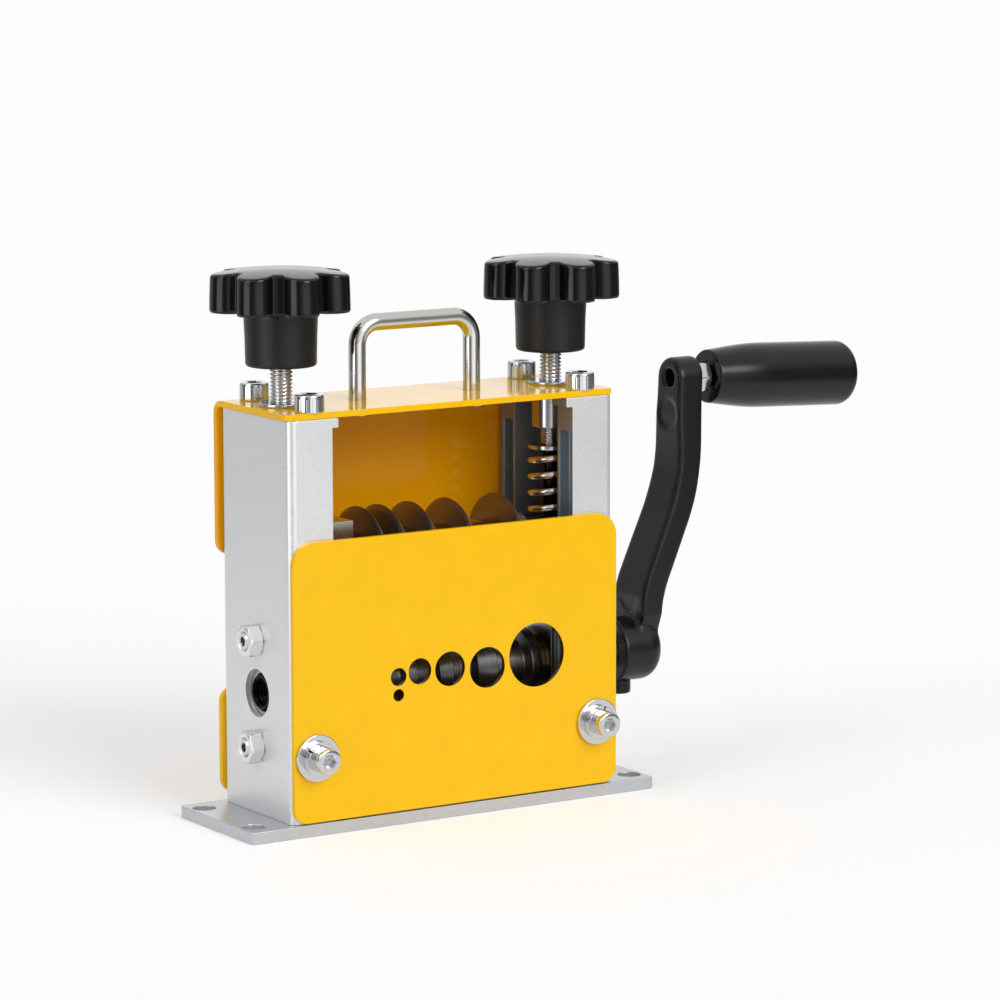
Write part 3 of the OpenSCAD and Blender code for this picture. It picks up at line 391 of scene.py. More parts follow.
# The grip bolt: a dark copy of the zinc, painted as the shade in the grip's sunk hole.
BOLT_IN_SHADE = replace(ZINC, colour=(0.2, 0.2, 0.21), roughness=0.3, spread=0.05, name="bolt_painted_shade")
STAINLESS = Finish(
    "stainless_rod", (0.84, 0.835, 0.815), metallic=1.0, roughness=0.1, spread=0.03, depth=0.002
)
SPRING_WIRE = Finish("spring_steel", (0.92, 0.92, 0.91), metallic=1.0, roughness=0.18, grain=0.3, depth=0.003)
MILLED = Finish(
    "machined_steel", STEEL, metallic=1.0, roughness=0.24, grain=0.6, depth=0.004, name="milled_steel"
)
TURNED_UPPER = TurnedFinish(
    "machined_steel", STEEL, metallic=1.0, roughness=0.2, depth=0.003, centre=BLADE_AXIS, name="turned_upper"
)
# The drive shaft's steel, painted near black as shade where it runs inside the columns.
TURNED_DRIVE_SHADED_ENDS = replace(
    TURNED_UPPER, roughness=0.24, depth=0.004, centre=DRIVE_AXIS,
    inner=(0.05, 0.05, 0.05), low=(46, -9, 30), high=(63, 9, 60), name="turned_drive",
)
TURNED_ROLLER = replace(
    TURNED_UPPER, colour=(0.46, 0.46, 0.46), roughness=0.3, spread=0.07, tint=0.3, ring=0.35, depth=0.012,
    centre=DRIVE_AXIS, name="turned_roller",
)
TURNED_LEFT = replace(
    TURNED_UPPER, colour=(0.8, 0.805, 0.81), roughness=0.16, axis=Axis.Z, centre=(-53.3, 0, 0),
    name="turned_left",
)
TURNED_RIGHT = replace(TURNED_LEFT, centre=(53.3, 0, 0), name="turned_right")
BLADE = TurnedFinish(
    "blade_steel", (0.52, 0.48, 0.465), metallic=0.85, roughness=0.33, tint=0.12, depth=0.003, ring=0.3,
    centre=BLADE_AXIS,
)
BRONZE_UPPER = replace(TURNED_UPPER, slot="bronze", colour=BRONZE, roughness=0.24, name="bronze_upper")
# The lower bushes: a darker copy of the bronze, painted as the shade they sit in.
BRONZE_DRIVE_SHADED = replace(BRONZE_UPPER, colour=(0.5, 0.4, 0.27), centre=DRIVE_AXIS, name="bronze_drive_shaded")
CAST_BLACK = BlastedFinish(
    "black_crank", (0.065, 0.068, 0.065), roughness=0.28, spread=0.03, tint=0.1, grain=0.6, coarse=1.8,
    depth=0.003, specular=0.38,
)
BLACK_OXIDE = Finish("black_screw", (0.09, 0.09, 0.09), metallic=0.5, roughness=0.36, grain=0.3, depth=0.006)
KNOB_BLACK = MouldedFinish(
    "black_knob", (0.05, 0.052, 0.052), roughness=0.13, spread=0.03, grain=0.8, depth=0.003, specular=0.39,
    satin_below=171.2,
)
GRIP_BLACK = Finish(
    "black_grip", (0.05, 0.052, 0.052), roughness=0.19, spread=0.03, grain=0.8, depth=0.003, specular=0.4
)


# Meshes


def new_piece(name: str, mesh: bpy.types.Mesh) -> bpy.types.Object:
    """Links a mesh to the scene as an object at the origin."""
    piece = bpy.data.objects.new(name, mesh)
    bpy.context.scene.collection.objects.link(piece)
    return piece


def place_piece(piece: bpy.types.Object, finish: Finish, body: Body, *nodes: str) -> bpy.types.Object:
    """Dresses a finished piece and ties it to its body and its CAD nodes.

    Args:
        piece: The piece, with its place in its mesh.
        finish: What it is made of.
        body: The body that it rides on.
        *nodes: The CAD nodes that it stands for.

    Returns:
        The piece.
    """
    piece.data.materials.clear()
    piece.data.materials.append(finish.material())
    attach(piece, body.value)
    if nodes:
        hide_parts(*nodes)
    log.info("%s: %d faces, rides on %s", piece.name, len(piece.data.polygons), body.value)
    return piece


def plain_mesh(piece: bpy.types.Object) -> bpy.types.Object:
    """Swaps a piece's modifiers for their result.

    Args:
        piece: The piece, with its modifiers.

    Returns:
        The same object with a plain mesh and no modifiers.
    """
    bpy.context.view_layer.update()
    graph = bpy.context.evaluated_depsgraph_get()
    result = bpy.data.meshes.new_from_object(
        piece.evaluated_get(graph), preserve_all_data_layers=True, depsgraph=graph
    )
    piece.modifiers.clear()
    piece.data = result
    return piece


def weigh_normals(piece: bpy.types.Object, angle: float = 50.0) -> bpy.types.Object:
    """Shades a piece smoothly with its flats kept flat.

    Args:
        piece: The piece.
        angle: Edges sharper than this many degrees stay sharp.

    Returns:
        The piece.
    """
    piece.data.shade_smooth()
    piece.data.set_sharp_from_angle(angle=math.radians(angle))
    modifier = piece.modifiers.new("normals", "WEIGHTED_NORMAL")
    modifier.keep_sharp = True
    return plain_mesh(piece)


def joined_copy(node: str) -> bpy.types.Object:
    """Copies a CAD node's mesh with its triangles joined.

    Args:
        node: The CAD node.

    Returns:
        The new piece, named after the node.
    """
    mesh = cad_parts[node].data.copy()
    mesh.materials.clear()
    work = bmesh.new()
    work.from_mesh(mesh)
    bmesh.ops.remove_doubles(work, verts=work.verts, dist=2e-6)
    bmesh.ops.dissolve_limit(work, angle_limit=math.radians(0.4), verts=work.verts, edges=work.edges)
    work.to_mesh(mesh)
    work.free()
    return new_piece(f"{node}_looks", mesh)


def box_piece(name: str, low: Sequence[float], high: Sequence[float]) -> bpy.types.Object:
    """Builds a box between two corners in millimetres."""
    work = bmesh.new()
    bmesh.ops.create_cube(work, size=1.0)
    sizes = [(b - a) * MM for a, b in zip(low, high)]
    middle = [(a + b) / 2 * MM for a, b in zip(low, high)]
    shape = Matrix.LocRotScale(Vector(middle), None, Vector(sizes))
    bmesh.ops.transform(work, matrix=shape, verts=work.verts)
    mesh = bpy.data.meshes.new(name)
    work.to_mesh(mesh)
    work.free()
    return new_piece(name, mesh)


def softened(
    node: str,
    width: float = 0.3,
    segments: int = 2,
    angle: float = 32.0,
    cutters: Sequence[bpy.types.Object] = (),
) -> bpy.types.Object:
    """Copies a CAD node, cuts pockets into it and rounds its sharp edges a little.

    Args:
        node: The CAD node.
        width: Width of the rounding in millimetres.
        segments: Faces across the rounding.
        angle: The least angle in degrees of an edge that is rounded.
        cutters: The forms that are cut out, which are used up.

    Returns:
        The new piece.
    """
    piece = joined_copy(node)
    for cutter in cutters:
        cut = piece.modifiers.new("pocket", "BOOLEAN")
        cut.operation = "DIFFERENCE"
        cut.solver = "EXACT"
        cut.object = cutter
        plain_mesh(piece)
        bpy.data.objects.remove(cutter)
    bevel = piece.modifiers.new("edges", "BEVEL")
    bevel.width = width * MM
    bevel.segments = segments
    bevel.limit_method = "ANGLE"
    bevel.angle_limit = math.radians(angle)
    bevel.use_clamp_overlap = False
    return weigh_normals(plain_mesh(piece))


def dress_node(node: str, finish: Finish, body: Body, width: float = 0.3, segments: int = 2) -> None:
    """Softens a CAD node's edges and puts the result in its place."""
    place_piece(softened(node, width, segments), finish, body, node)


def stand(at: Sequence[float], towards: Sequence[float] = (0, 0, 1), spin: float = 0.0) -> Matrix:
    """Gives the matrix that puts a piece drawn along +Z in place."""
    turn = Vector((0, 0, 1)).rotation_difference(Vector(towards)).to_matrix().to_4x4()
    return Matrix.Translation(Vector(at) * MM) @ turn @ Matrix.Rotation(math.radians(spin), 4, "Z")


def eased(
    points: Sequence[tuple[float, float]], radius: float = 0.25, steps: int = 3
) -> list[tuple[float, float]]:
    """Rounds the corners of a turned profile.

    Args:
        points: Pairs of height and radius in millimetres.
        radius: The rounding's radius in millimetres.
        steps: Faces across a corner.

    Returns:
        The profile with an arc at each corner.
    """
    out = [points[0]]
    for before, here, after in zip(points, points[1:], points[2:]):
        a, b, c = (np.array(p, float) for p in (before, here, after))
        into, onward = a - b, c - b
        reach = min(np.linalg.norm(into), np.linalg.norm(onward)) * 0.45
        into, onward = into / np.linalg.norm(into), onward / np.linalg.norm(onward)
        half = math.acos(float(np.clip(into @ onward, -1, 1))) / 2
        cut = min(radius / max(math.tan(half), 0.02), reach)
        if half > math.radians(84):
            out.append(tuple(b))
            continue
        start, end = b + into * cut, b + onward * cut
        for k in range(steps + 1):
            t = k / steps
            out.append(tuple((1 - t) ** 2 * start + 2 * t * (1 - t) * b + t * t * end))
    out.append(points[-1])
    return out


Ring = tuple[float | np.ndarray, float | np.ndarray]


def ringed(
    name: str, rings: Sequence[Ring], steps: int = 64, place: Matrix | None = None, loop: bool = False
) -> bpy.types.Object:
    """Builds a closed piece from rings of points round +Z.

    Args:
        name: The piece's name.
        rings: Pairs of height and radius in millimetres, each a number or one value a step.
        steps: Points in a ring.
        place: The matrix that puts the piece in place.
        loop: Whether the last ring joins the first, as round a bore.

    Returns:
        The new piece, shaded.
    """
    angles = np.arange(steps) * 2 * math.pi / steps
    rows = []
    for height, radius in rings:
        r = np.broadcast_to(np.asarray(radius, float), steps)
        z = np.broadcast_to(np.asarray(height, float), steps)
        rows.append(np.stack([r * np.cos(angles), r * np.sin(angles), z], 1))
    points = np.concatenate(rows) * MM
    pairs = [(i, i + 1) for i in range(len(rings) - 1)] + ([(len(rings) - 1, 0)] if loop else [])
    faces = [
        (a * steps + k, a * steps + (k + 1) % steps, b * steps + (k + 1) % steps, b * steps + k)
        for a, b in pairs
        for k in range(steps)
    ]
    mesh = bpy.data.meshes.new(name)
    mesh.from_pydata(points.tolist(), [], faces)
    return closed_piece(name, mesh, place)


def closed_piece(name: str, mesh: bpy.types.Mesh, place: Matrix | None = None) -> bpy.types.Object:
    """Merges a shell's seams, turns its faces outwards, places and shades it.

    Args:
        name: The piece's name.
        mesh: The shell.
        place: The matrix that puts it in place.

    Returns:
        The new piece.
    """
    work = bmesh.new()
    work.from_mesh(mesh)
    bmesh.ops.remove_doubles(work, verts=work.verts, dist=1e-7)
    bmesh.ops.dissolve_degenerate(work, edges=work.edges, dist=1e-7)
    bmesh.ops.recalc_face_normals(work, faces=work.faces)
    if place is not None:
        bmesh.ops.transform(work, matrix=place, verts=work.verts)
    work.to_mesh(mesh)
    work.free()
    return weigh_normals(new_piece(name, mesh), 40)


def hexagon(across: float, steps: int) -> np.ndarray:
    """Gives the radius of a hexagon at each step of a ring."""
    turn = (np.arange(steps) * 360 / steps) % 60 - 30
    return across / 2 / np.cos(np.radians(turn))


# Rules


class RuleTree:
    """A Geometry Nodes tree with named inputs, whose result becomes a plain mesh."""

    def __init__(self, name: str) -> None:
        """Starts an empty tree.

        Args:
            name: The tree's name.
        """
        self.tree = bpy.data.node_groups.new(name, "GeometryNodeTree")
        self.writer = NodeWriter(self.tree)
        for way in ("INPUT", "OUTPUT"):
            self.tree.interface.new_socket("Geometry", in_out=way, socket_type="NodeSocketGeometry")
        self.entry = self.writer.node("NodeGroupInput")
        self.exit = self.writer.node("NodeGroupOutput")

    def value(self, name: str, default: float | int = 0.0) -> bpy.types.NodeSocket:
        """Adds a number input; a whole number makes a whole-number input."""
        kind = "NodeSocketInt" if isinstance(default, int) else "NodeSocketFloat"
        self.tree.interface.new_socket(name, in_out="INPUT", socket_type=kind).default_value = default
        return self.entry.outputs[name]

    def thing(self, name: str, kind: str) -> bpy.types.NodeSocket:
        """Adds an input of another kind, such as an object or a material."""
        self.tree.interface.new_socket(name, in_out="INPUT", socket_type=kind)
        return self.entry.outputs[name]

    def end(self, geometry: bpy.types.NodeSocket) -> None:
        """Ends the tree with real geometry in its finish.

        Args:
            geometry: What the tree has made.
        """
        real = self.writer.node("GeometryNodeRealizeInstances", {0: geometry}).outputs[0]
        finish = self.thing("Finish", "NodeSocketMaterial")
        dressed = self.writer.node("GeometryNodeSetMaterial", {"Geometry": real, "Material": finish})
        self.tree.links.new(dressed.outputs[0], self.exit.inputs[0])

    def grow(self, name: str, values: dict, mesh: bpy.types.Mesh | None = None) -> bpy.types.Object:
        """Runs the tree once.

        Args:
            name: The piece's name.
            values: Its inputs by name.
            mesh: The mesh that the tree starts from.

        Returns:
            The result as a plain mesh.
        """
        piece = new_piece(name, mesh or bpy.data.meshes.new(name))
        modifier = piece.modifiers.new("rule", "NODES")
        modifier.node_group = self.tree
        for item in self.tree.interface.items_tree:
            if item.in_out == "INPUT" and item.name in values:
                modifier[item.identifier] = values[item.name]
        return plain_mesh(piece)

    def shell(
        self, name: str, values: dict, place: Matrix, mesh: bpy.types.Mesh | None = None
    ) -> bpy.types.Object:
        """Runs the tree once and makes its result a closed piece.

        Args:
            name: The piece's name.
            values: Its inputs by name.
            place: The matrix that puts the piece in place.
            mesh: The mesh that the tree starts from.

        Returns:
            The piece, shaded.
        """
        grown = self.grow(name, values, mesh)
        result = grown.data
        bpy.data.objects.remove(grown)
        return closed_piece(name, result, place)

    def bent_line(self, count, spot) -> bpy.types.NodeSocket:
        """Makes a curve through a number of points, each set at its spot."""
        w = self.writer
        line = w.node("GeometryNodeMeshLine", {"Count": count}).outputs[0]
        bent = w.node("GeometryNodeSetPosition", {"Geometry": line, "Position": spot}).outputs[0]
        return w.node("GeometryNodeMeshToCurve", {0: bent}).outputs[0]

    def tube(self, curve, radius, steps: int) -> bpy.types.NodeSocket:
        """Runs a circle of a number of steps along a curve, with closed ends."""
        w = self.writer
        ring = w.node("GeometryNodeCurvePrimitiveCircle", {"Resolution": steps, "Radius": radius}).outputs[0]
        swept = {"Curve": curve, "Profile Curve": ring, "Fill Caps": True}
        return w.node("GeometryNodeCurveToMesh", swept).outputs[0]

    def rings(self, columns, rows) -> tuple[bpy.types.NodeSocket, bpy.types.NodeSocket, bpy.types.NodeSocket]:
        """Makes a grid that a rule bends round +Z, closed by its first and last rows.

        Args:
            columns: Points round, the last on the first.
            rows: Points along.

        Returns:
            The grid, the angle in radians and the row number of each point.
        """
        w = self.writer
        sizes = {"Size X": 1.0, "Size Y": 1.0, "Vertices X": columns, "Vertices Y": rows}
        grid = w.node("GeometryNodeMeshGrid", sizes)
        index = w.node("GeometryNodeInputIndex").outputs[0]
        row = w.math("FLOORED_MODULO", index, rows)
        column = w.math("FLOOR", w.math("DIVIDE", w.math("ADD", index, 0.5), rows))
        share = w.math("DIVIDE", column, w.math("SUBTRACT", columns, 1))
        return grid.outputs[0], w.math("MULTIPLY", share, 2 * math.pi), row

    def bent(self, grid, radius, angle, height) -> bpy.types.NodeSocket:
        """Sets a grid's points round +Z and merges its seam.

        Args:
            grid: The grid.
            radius: Distance from the axis.
            angle: Angle in radians.
            height: Height along the axis.

        Returns:
            The closed geometry.
        """
        w = self.writer
        x = w.math("MULTIPLY", radius, w.math("COSINE", angle))
        y = w.math("MULTIPLY", radius, w.math("SINE", angle))
        spot = w.node("ShaderNodeCombineXYZ", {0: x, 1: y, 2: height}).outputs[0]
        moved = w.node("GeometryNodeSetPosition", {"Geometry": grid, "Position": spot}).outputs[0]
        return w.node("GeometryNodeMergeByDistance", {"Geometry": moved, "Distance": 1e-7}).outputs[0]


class ScatterTree(RuleTree):
    """Sets one prototype on marked points, each turned as its point says."""

    def __init__(self) -> None:
        """Builds the tree."""
        super().__init__("scattered_fasteners")
        w = self.writer
        prototype = w.node("GeometryNodeObjectInfo", {0: self.thing("Prototype", "NodeSocketObject")})
        turn = w.node("GeometryNodeInputNamedAttribute", {0: "turn"}, data_type="FLOAT_VECTOR").outputs[0]
        copies = w.node(
            "GeometryNodeInstanceOnPoints",
            {"Points": self.entry.outputs[0], "Instance": prototype.outputs["Geometry"], "Rotation": turn},
        ).outputs[0]
        swing = self.value("Swing", 0.0)
        draw = {2: w.math("MULTIPLY", swing, -1), 3: swing, "Seed": self.value("Seed", 1)}
        spin = w.node("FunctionNodeRandomValue", draw).outputs[1]
        twist = w.node("ShaderNodeCombineXYZ", {2: spin}).outputs[0]
        turned = {"Instances": copies, "Rotation": twist, "Local Space": True}
        self.end(w.node("GeometryNodeRotateInstances", turned).outputs[0])

    def set_out(
        self,
        name: str,
        prototype: bpy.types.Object,
        places: Sequence[Matrix],
        swing: float = 0.0,
        seed: int = 1,
    ) -> bpy.types.Object:
        """Places copies of a prototype and removes the prototype.

        Args:
            name: The piece's name.
            prototype: One fastener, drawn along +Z from the origin.
            places: Where each copy goes.
            swing: Most that a copy turns about its own axis, in degrees.
            seed: Seed of those turns.

        Returns:
            The copies as one plain mesh.
        """
        points = bpy.data.meshes.new(name)
        points.from_pydata([tuple(p.translation) for p in places], [], [])
        turns = points.attributes.new("turn", "FLOAT_VECTOR", "POINT")
        for item, place in zip(turns.data, places):
            item.vector = place.to_euler()
        values = {"Prototype": prototype, "Swing": math.radians(swing), "Seed": seed}
        piece = self.grow(name, values, points)
        bpy.data.objects.remove(prototype)
        return piece


class ThreadTree(RuleTree):
    """A threaded rod along +Z with a plain journal at its lower end."""

    def __init__(self) -> None:
        """Builds the tree."""
        super().__init__("threaded_rod")
        w = self.writer
        outer, core = self.value("Outer", 0.0039), self.value("Core", 0.0032)
        pitch = self.value("Pitch", 0.00125)
        low, start, high = self.value("Low"), self.value("Start"), self.value("High", 0.1)
        journal, turn = self.value("Journal", 0.003), self.value("Turn")
        rows = self.value("Rows", 700)
        grid, angle, row = self.rings(49, rows)
        share = w.math("DIVIDE", w.math("SUBTRACT", row, 1), w.math("SUBTRACT", rows, 3), clamp=True)
        height = w.math("ADD", low, w.math("MULTIPLY", share, w.math("SUBTRACT", high, low)))
        turns = w.math("DIVIDE", w.math("ADD", angle, turn), 2 * math.pi)
        phase = w.math("FRACT", w.math("SUBTRACT", w.math("DIVIDE", height, pitch), turns))
        wave = w.math("ABSOLUTE", w.math("SUBTRACT", w.math("MULTIPLY", phase, 2), 1))
        crest = w.ranged(wave, 0.12, 0.85, 0.0, 1.0)
        thread = w.math("ADD", core, w.math("MULTIPLY", crest, w.math("SUBTRACT", outer, core)))
        point = w.math("ADD", w.math("SUBTRACT", core, 0.0004), w.math("SUBTRACT", high, height))
        runout = w.math("ADD", w.math("SUBTRACT", core, 0.0001), w.math("SUBTRACT", height, start))
        cut = w.math("MINIMUM", w.math("MINIMUM", thread, point), w.math("MAXIMUM", runout, core))
        above = w.math("GREATER_THAN", height, start)
        body = w.mixed(above, journal, cut)
        last = w.math("COMPARE", row, w.math("SUBTRACT", rows, 1), 0.1)
        inner = w.math("SUBTRACT", 1, w.math("MAXIMUM", w.math("COMPARE", row, 0, 0.1), last))
        self.end(self.bent(grid, w.math("MULTIPLY", body, inner), angle, height))


class CoilTree(RuleTree):
    """A compression spring along +Z, with closer end coils."""

    def __init__(self) -> None:
        """Builds the tree."""
        super().__init__("coiled_spring")
        w = self.writer
        mean, wire = self.value("Mean radius", 0.00665), self.value("Wire radius", 0.00115)
        curls = self.value("Curls", 4.3)
        middle, ends = self.value("Pitch", 0.0057), self.value("End pitch", 0.0032)
        low, turn, count = self.value("Low"), self.value("Turn"), self.value("Points", 260)
        index = w.node("GeometryNodeInputIndex").outputs[0]
        t = w.math("MULTIPLY", w.math("DIVIDE", index, w.math("SUBTRACT", count, 1)), curls)
        first = w.math("MULTIPLY", w.math("MINIMUM", t, 0.5), ends)
        limit = w.math("SUBTRACT", curls, 0.5)
        between = w.math("MAXIMUM", w.math("SUBTRACT", w.math("MINIMUM", t, limit), 0.5), 0)
        last = w.math("MULTIPLY", w.math("MAXIMUM", w.math("SUBTRACT", t, limit), 0), ends)
        rise = w.math("ADD", w.math("ADD", first, last), w.math("MULTIPLY", between, middle))
        angle = w.math("ADD", w.math("MULTIPLY", t, 2 * math.pi), turn)
        spot = w.node(
            "ShaderNodeCombineXYZ",
            {
                0: w.math("MULTIPLY", mean, w.math("COSINE", angle)),
                1: w.math("MULTIPLY", mean, w.math("SINE", angle)),
                2: w.math("ADD", rise, low),
            },
        ).outputs[0]
        self.end(self.tube(self.bent_line(count, spot), wire, 20))


class BentRodTree(RuleTree):
    """A round rod bent into a handle: two legs and a bar."""

    def __init__(self) -> None:
        """Builds the tree."""
        super().__init__("bent_rod")
        w = self.writer
        left, right, low, bar = self.value("Left"), self.value("Right"), self.value("Low"), self.value("Bar")
        bend, rod = self.value("Bend"), self.value("Rod radius")
        index = w.node("GeometryNodeInputIndex").outputs[0]
        x = w.mixed(w.math("GREATER_THAN", index, 1.5), left, right)
        high = w.math("COMPARE", index, 1.5, 0.6)
        z = w.mixed(high, low, bar)
        spot = w.node("ShaderNodeCombineXYZ", {0: x, 2: z}).outputs[0]
        corners = {"Curve": self.bent_line(4, spot), "Radius": bend, "Count": 20, "Limit Radius": True}
        path = w.node("GeometryNodeFilletCurve", corners, mode="POLY").outputs[0]
        even = {"Curve": path, "Length": 0.0008}
        fine = w.node("GeometryNodeResampleCurve", even, mode="LENGTH").outputs[0]
        self.end(self.tube(fine, rod, 40))


class LobedTree(RuleTree):
    """A moulded piece round +Z, whose outline goes between a circle and a star of round lobes."""

    def __init__(self) -> None:
        """Builds the tree."""
        super().__init__("lobed_outline")
        w = self.writer
        lobes, phase = self.value("Lobes", 7), self.value("Phase")
        core, reach = self.value("Core radius"), self.value("Lobe distance")
        round_r, valley = self.value("Lobe radius"), self.value("Valley softness")
        columns, rows = self.value("Columns", 225), self.value("Rows", 10)
        crown, crown_low = self.value("Crown"), self.value("Crown low")
        grid, angle, row = self.rings(columns, rows)
        marks = w.node("GeometryNodeInputPosition").outputs[0]
        sampled = {"Geometry": self.entry.outputs[0], "Value": marks, "Index": row}
        profile = w.node("GeometryNodeSampleIndex", sampled, data_type="FLOAT_VECTOR").outputs[0]
        plain, star, height = w.node("ShaderNodeSeparateXYZ", {0: profile}).outputs
        step = w.math("DIVIDE", 2 * math.pi, lobes)
        half = w.math("MULTIPLY", step, 0.5)
        shifted = w.math("ADD", w.math("SUBTRACT", angle, phase), half)
        off = w.math("SUBTRACT", w.math("FLOORED_MODULO", shifted, step), half)
        aside = w.math("MULTIPLY", reach, w.math("SINE", off))
        spare = w.math("SUBTRACT", w.math("MULTIPLY", round_r, round_r), w.math("MULTIPLY", aside, aside))
        inside = w.math("MAXIMUM", spare, 0)
        lobe = w.math("ADD", w.math("MULTIPLY", reach, w.math("COSINE", off)), w.math("SQRT", inside))
        outline = w.math("SMOOTH_MAX", core, lobe, valley)
        radius = w.math("MAXIMUM", w.math("ADD", plain, w.math("MULTIPLY", outline, star)), 0)
        domed = w.math("MULTIPLY", w.math("GREATER_THAN", height, crown_low), crown)
        sag = w.math("MULTIPLY", domed, w.math("MULTIPLY", radius, radius))
        self.end(self.bent(grid, radius, angle, w.math("SUBTRACT", height, sag)))

    def mould(
        self, name: str, profile: Sequence[tuple[float, float, float]], values: dict, place: Matrix
    ) -> bpy.types.Object:
        """Makes one lobed piece.

        Args:
            name: The piece's name.
            profile: Rows of plain radius, share of the star outline and height; lengths in millimetres.
            values: The tree's inputs by name.
            place: The matrix that puts the piece in place.

        Returns:
            The closed piece.
        """
        rows = bpy.data.meshes.new(name)
        rows.from_pydata([(a * MM, s, z * MM) for a, s, z in profile], [], [])
        return self.shell(name, {"Rows": len(profile), **values}, place, rows)


# Studio


ROOM_PEAK = 3.0
HORIZON_LEVELS = ((0.0, 0.68), (0.088, 0.7), (0.108, 1.0), (0.135, 1.0), (0.19, 0.74), (0.3, 0.74))
ROOM_LEVELS = (
    (-180, 0.85), (-166, 0.62), (-140, 0.6), (-124, 0.16), (-102, 0.12), (-95, 2.4), (-68, 2.4),
    (-58, 0.2), (-44, 0.14), (-30, 0.5), (-12, 1.3), (17, 1.3), (29, 0.34), (52, 0.16), (110, 0.16),
    (124, 0.7), (136, 1.35), (165, 1.35), (180, 0.85),
)


